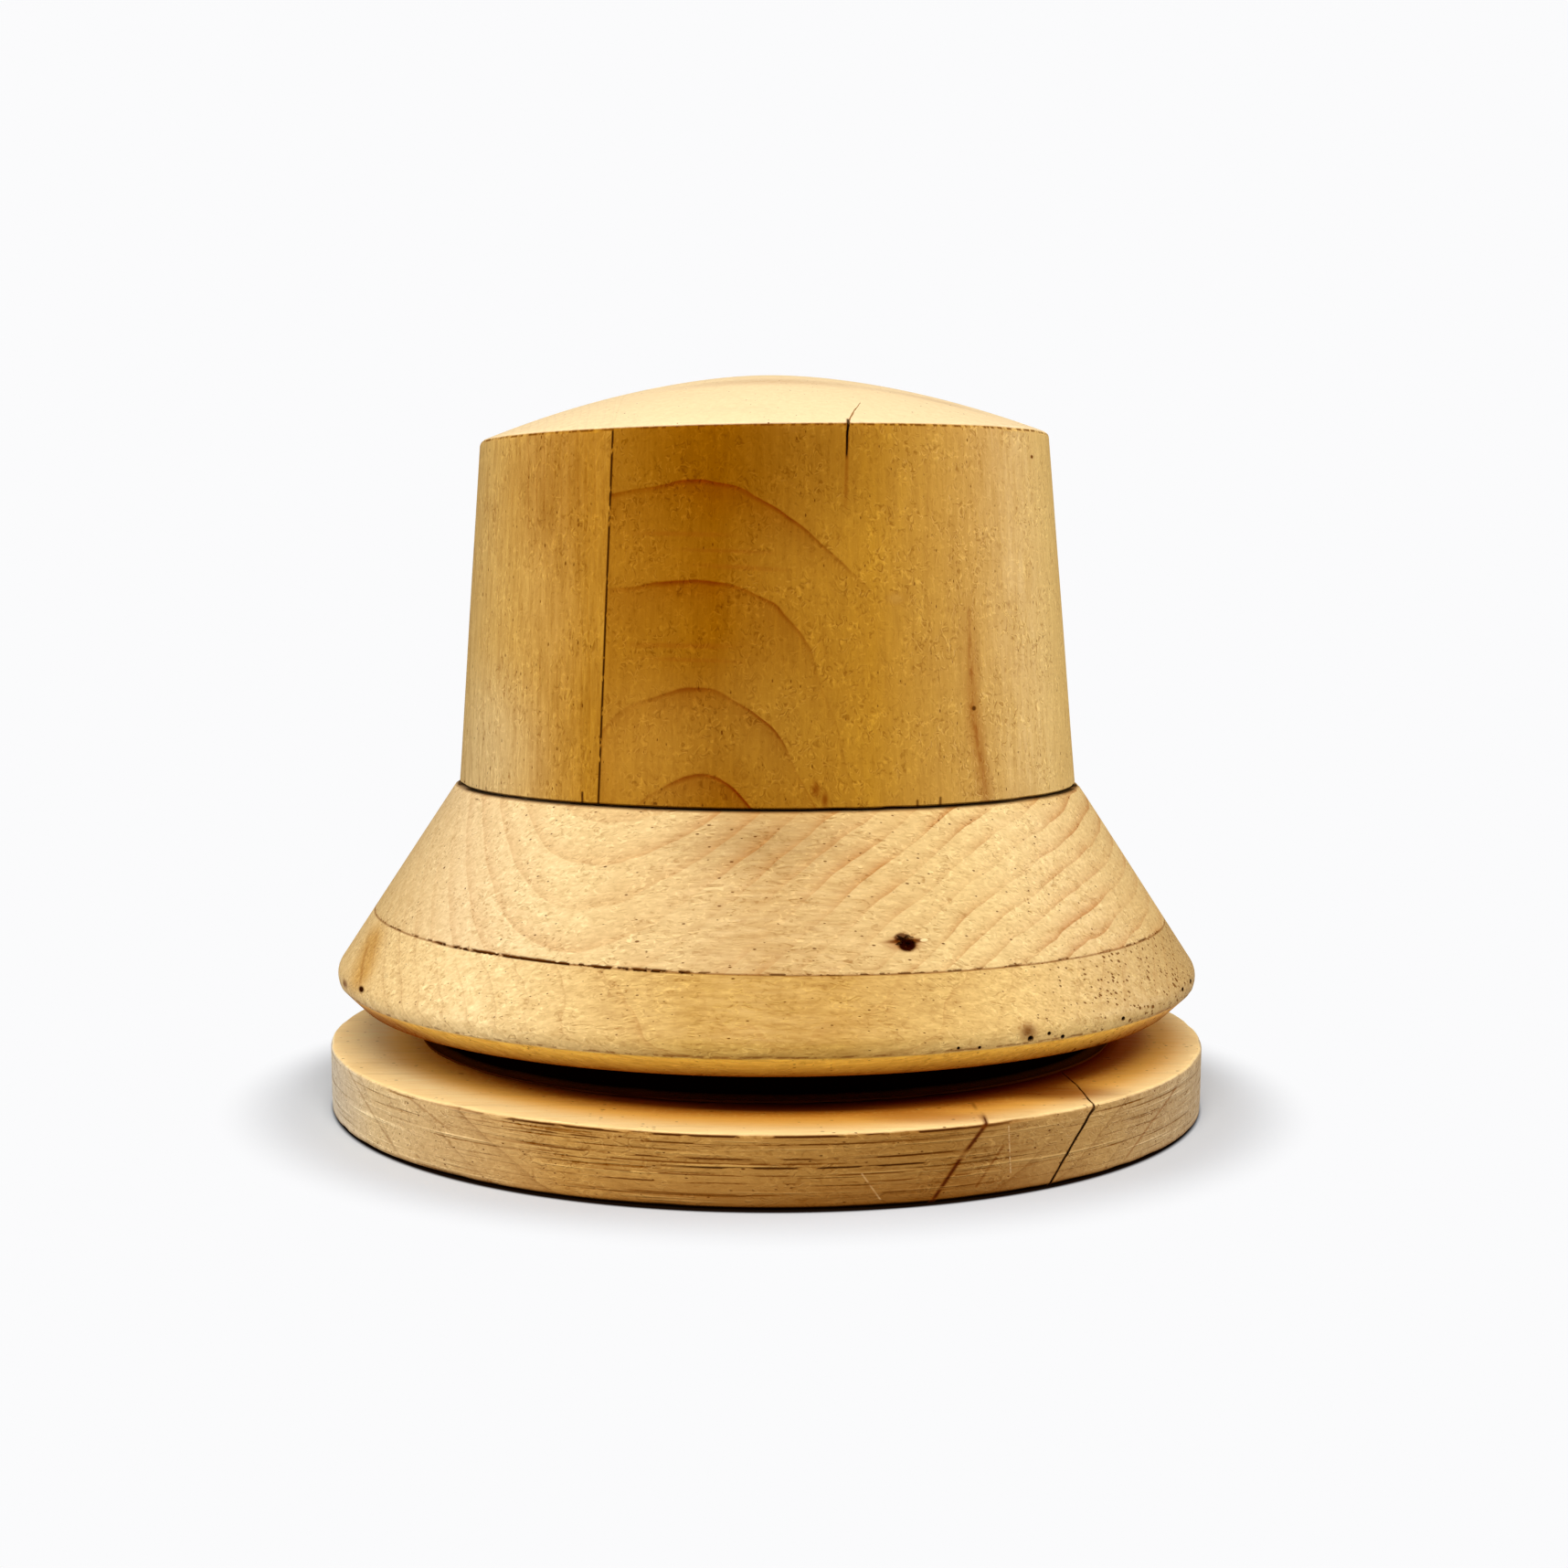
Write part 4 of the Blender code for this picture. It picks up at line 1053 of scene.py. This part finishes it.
BASE_WOOD = dict(
    across=(0, 0.85, 0.53), depth=(0, -0.53, 0.85), climb=(0.01, 0, 0), pith=(0, -190), pitch=8.0,
    ring_at=235.6, sway=6.0, wobble=2.0, seasons=SEASONS, ring_strength=0.5, grain=ALONG_X, fine=0.6,
    streaks=0.6, rag_grain=(0.4, 1, 1), rag_size=2.0, curls=0.5, turning=0.9, relief=0.9,
    pores=((1.2, 0.3), (3.0, 0.42)),
    pale="#B89050", warm="#A87A3A", ring_colour="#6A3404", breaks=(0.14, 0.14, 1),
    plain_above=(UP, 20.2, 0.5),
    tones_and_side_light=[(-139, "#DCCFB8"), (-115, "#DCBC88"), (-55, "#BE8C44"), (50, "#96662A"), (95, "#B48C52"),
           (139, "#B49A74")],
    zones=[
        # Painted light: the base's top is painted much paler than its wall, for the light that falls on it
        # from above.
        ("above", (UP, 20.2, 0.5), "#FFDA96", 1.0),
        # Painted shade and painted reflected light under the brim's overhang: orange rings on the base's top
        # that darken to deep red-brown towards the neck, with darker patches near the front and right.
        ("spot", ((5, 0, 20.9), (134, 121.5, 60), 0.1), "#FFB640", 0.9, None, ON_BASE_TOP),
        ("spot", ((5, 0, 20.9), (122, 112, 60), 0.08), "#F09220", 0.9, (0.2, 0.5), ON_BASE_TOP),
        ("spot", ((82, -80, 20.9), (27, 13, 8), 0.8), "#802E00", 0.75, None, ON_BASE_TOP),
        ("spot", ((44, -106, 20.9), (26, 9, 8), 0.8), "#B05810", 0.45, None, ON_BASE_TOP),
        ("spot", ((14, 0, 20.9), (113, 96, 60), 0.08), "#A44C08", 0.85, None, ON_BASE_TOP),
        ("spot", ((5, 0, 20.9), (116, 105.5, 60), 0.06), "#A84A04", 0.95, None, ON_BASE_TOP),
        ("spot", ((5, 0, 20.9), (111, 99.5, 60), 0.06), "#701606", 1.0, None, ON_BASE_TOP),
    ],
    marks=[
        ("band", (UP, 20.0, 0.5), "#3A1402", 0.95, (0.42, 0.5), ((-5, -110, 15), (110, 70, 60), 0.5)),
    ] + [
        ("band", (UP, height, half_width), tint, strength, breaks, ((x, -120, 15), (reach, 70, 60), 0.5))
        for height, half_width, tint, strength, breaks, x, reach in WALL_LINES
    ] + [
        # Painted shade: the front of the wall grows darker towards the bottom, and a near-black band round
        # the foot stands in for contact shadow; the underside is left clear.
        ("above", (UPSIDE_DOWN, -9.0, 8.0), "#6A3E10", 0.75, None, ((15, -110, 4), (105, 60, 40), 0.8)),
        ("band", (UP, 0.0, 2.0), "#180702", 1.0, None, None, UNDERSIDE),
        ("line", (((-125.0, 0, 19.9), (-117.8, 0, 13.5), (-106.9, 0, 3.3)), 0.5, FROM_FRONT), "#9A6E34", 0.42,
         None, ((-116, -66, 12), (18, 30, 16), 0.3)),
        ("line", (((-102, 0, 19.9), (-97.2, 0, 17.8), (-89, 0, 13.9)), 0.5, FROM_FRONT), "#9A6E34", 0.42,
         None, ((-97, -88, 17), (14, 24, 10), 0.3)),
        ("line", (((122.7, 0, 18.1), (111.8, 0, 10.4), (102.2, 0, 2)), 0.5, FROM_FRONT), "#86582A", 0.6, None,
         ((112, -72, 10), (18, 30, 14), 0.3)),
        # Painted shade: near-black lines in the check, down the wall and along the top.
        ("line", (((77.7, 0, -0.5), (83.6, 0, 8.5), (92.0, 0, 20.5)), 0.6, FROM_FRONT), "#160601", 1.0, None,
         ((85, -98, 10), (12, 16, 14), 0.1)),
        ("line", (((91.8, -94, 0), (91.2, -88, 0), (90.2, -72, 0), (88.0, -58, 0)), 0.4, FROM_ABOVE),
         "#2A0C02", 0.9, None, ((90, -78, 21), (12, 24, 2.5), 0.1)),
        ("line", (((59.6, 0, 20.5), (52.1, 0, 11.2), (44.3, 0, 0)), 1.0, FROM_FRONT), "#4A1402", 0.95,
         (0.25, 0.45), ((52, -115, 10), (25, 20, 20), 0.3)),
        ("line", (((64.4, 0, 13.5), (57.0, 0, 3.4)), 0.6, FROM_FRONT), "#5A2404", 0.6, (0.3, 0.5),
         ((61, -115, 10), (20, 20, 14), 0.3)),
        ("line", (((66.0, 0, 19.0), (66.8, 0, 6.0)), 0.45, FROM_FRONT), "#E0BC80", 0.7, (0.3, 0.5),
         ((66, -115, 12), (12, 20, 12), 0.3)),
        ("line", (((25.5, 0, 9.5), (31.0, 0, 1.5)), 0.45, FROM_FRONT), "#DDB474", 0.7, (0.3, 0.5),
         ((28, -115, 6), (12, 20, 12), 0.3)),
        ("line", (((58.9, -111.7, 0), (57.5, -84, 0)), 0.8, FROM_ABOVE), "#8A3C0A", 0.5, (0.4, 0.6),
         ((58, -98, 21), (20, 20, 4), 0.3)),
        # Painted shadow: the brim's shadow on the base's top, with a crisp edge at the front.
        ("spot", ((5, 0, 20.9), (119, 102, 60), 0.02), "#4A0A00", 0.7, None,
         ((5, -104, 21), (45, 20, 4), 0.6)),
    ])
DOWEL_WOOD = dict(
    across=(1, 0, 0), depth=(0, 1, 0), climb=(0, 0, 0.02), pith=(-120, -60), pitch=1.6, ring_at=0.0,
    sway=2.0, wobble=1.0, seasons=SEASONS, ring_strength=0.3, grain=ALONG_Z, fine=0.5, streaks=0.3,
    rag_grain=(1, 1, 0.5), rag_size=2.0, curls=0.06, turning=0.05, relief=0.3, pores=((1.2, 0.25),),
    pale="#E0C592", warm="#D6B682", ring_colour="#B8925A", breaks=(1, 1, 1), plain_above=NOWHERE,
    tones_and_side_light=[(-90, "#DDBE8A"), (90, "#DDBE8A")])
WOODS = {
    "crown_left_board": CROWN_LEFT_WOOD, "crown_right_board": CROWN_RIGHT_WOOD,
    "brim_upper_board": BRIM_UPPER_WOOD, "brim_lower_board": BRIM_LOWER_WOOD,
    "base_board": BASE_WOOD, "dowel": DOWEL_WOOD,
}
SLOTS = {
    "crown_left_board": "crown_wood_plain", "crown_right_board": "crown_wood_figured",
    "brim_upper_board": "brim_wood_upper", "brim_lower_board": "brim_wood_lower", "base_board": "base_wood",
}


def dress(piece, node, body, slot, finish):
    piece.data.materials.clear()
    piece.data.materials.append(finish)
    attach(piece, body)
    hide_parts(node)


def dress_all():
    woods = {name: alder(f"alder_{name}", wood) for name, wood in WOODS.items()}
    boards = {**make_crown(), **make_brim(), **make_base()}
    for node, piece in boards.items():
        body = "crown" if node.startswith("crown") else "brim_and_base"
        dress(piece, node, body, SLOTS[node], woods[node])
    for node, piece in make_dowels().items():
        dress(piece, node, "brim_and_base", "dowel_birch", woods["dowel"])
    metal = brass()
    for node, piece in make_screws().items():
        dress(piece, node, "brim_and_base", "screw_brass", metal)


def make_floor():
    """A matt pale paper floor that fades to plain white away from the block.

    It is darker for all but the camera, as if the block stood on a small sheet in a dim room, so that
    little light comes up from below. Close round the block's foot the camera sees a painted contact shadow.
    """
    shape = bmesh.new()
    bmesh.ops.create_circle(shape, cap_ends=True, segments=FLOOR_STEPS, radius=FLOOR_RADIUS)
    floor = object_from(shape, "floor")
    finish, tree, shader = new_material("pale_floor")
    shader.inputs["Roughness"].default_value = 1.0
    shader.inputs["Specular IOR Level"].default_value = 0.0
    camera_ray = add(tree, "LightPath", output="Is Camera Ray")
    sheet = add(tree, "Mix", {0: camera_ray, 6: FLOOR_FROM_BELOW, 7: FLOOR_SEEN}, data_type="RGBA")
    place = add(tree, "TexCoord", output="Object")
    # Painted contact shadow round the block's foot, for the camera only
    foot = near(tree, place, (0, 0, 0), CONTACT_REACH, CONTACT_SOFTNESS)
    foot = add(tree, "Math MULTIPLY", [foot, camera_ray])
    sheet = add(tree, "Mix", {0: foot, 6: sheet, 7: CONTACT_SHADE}, data_type="RGBA")
    tree.links.new(sheet, shader.inputs["Base Color"])
    away = add(tree, "VectorMath MULTIPLY", [place, FADE_OVAL])
    away = add(tree, "VectorMath LENGTH", [away])
    far = add(tree, "MapRange", [away, FADE_STARTS, FADE_ENDS], interpolation_type="SMOOTHSTEP")
    share = add(tree, "Math MULTIPLY", [far, camera_ray])
    white = add(tree, "Emission", [WHITE, 1.0])
    mixed = add(tree, "MixShader", [share, shader.outputs[0], white])
    tree.links.new(mixed, tree.nodes["Material Output"].inputs["Surface"])
    floor.data.materials.append(finish)


def make_world():
    """A dim room, which the camera sees as plain white."""
    world = bpy.data.worlds.new("studio")
    bpy.context.scene.world = world
    world.use_nodes = True
    tree = world.node_tree
    output = next(node for node in tree.nodes if node.type == "OUTPUT_WORLD")
    room = add(tree, "Background", [ROOM, ROOM_LIGHT])
    white = add(tree, "Background", [WHITE, 1.0])
    mixed = add(tree, "MixShader", [add(tree, "LightPath", output="Is Camera Ray"), room, white])
    tree.links.new(mixed, output.inputs["Surface"])


def make_lamps():
    for name, place, aim, size, power in LAMPS:
        data = bpy.data.lights.new(name, "AREA")
        data.shape = "RECTANGLE"
        data.size, data.size_y = size
        data.energy = power
        lamp = bpy.data.objects.new(name, data)
        lamp.location = place
        lamp.rotation_euler = (Vector(aim) - Vector(place)).to_track_quat("-Z", "Y").to_euler()
        lamp.visible_camera = False
        bpy.context.scene.collection.objects.link(lamp)


def make_camera():
    data = bpy.data.cameras.new("camera")
    data.sensor_width = SENSOR_WIDTH
    data.lens = FOCAL_PIXELS * SENSOR_WIDTH / PICTURE_SIDE
    data.shift_x = AXIS_LEFT_OF_CENTRE / PICTURE_SIDE
    camera = bpy.data.objects.new("camera", data)
    upright = Matrix.Rotation(math.pi / 2 - CAMERA_PITCH, 4, "X")
    camera.matrix_world = Matrix.Translation(CAMERA_PLACE) @ upright @ Matrix.Rotation(CAMERA_ROLL, 4, "Z")
    bpy.context.scene.collection.objects.link(camera)
    bpy.context.scene.camera = camera


make_camera()
make_world()
make_lamps()
make_floor()
dress_all()

bpy.context.scene.view_settings.view_transform = "Standard"
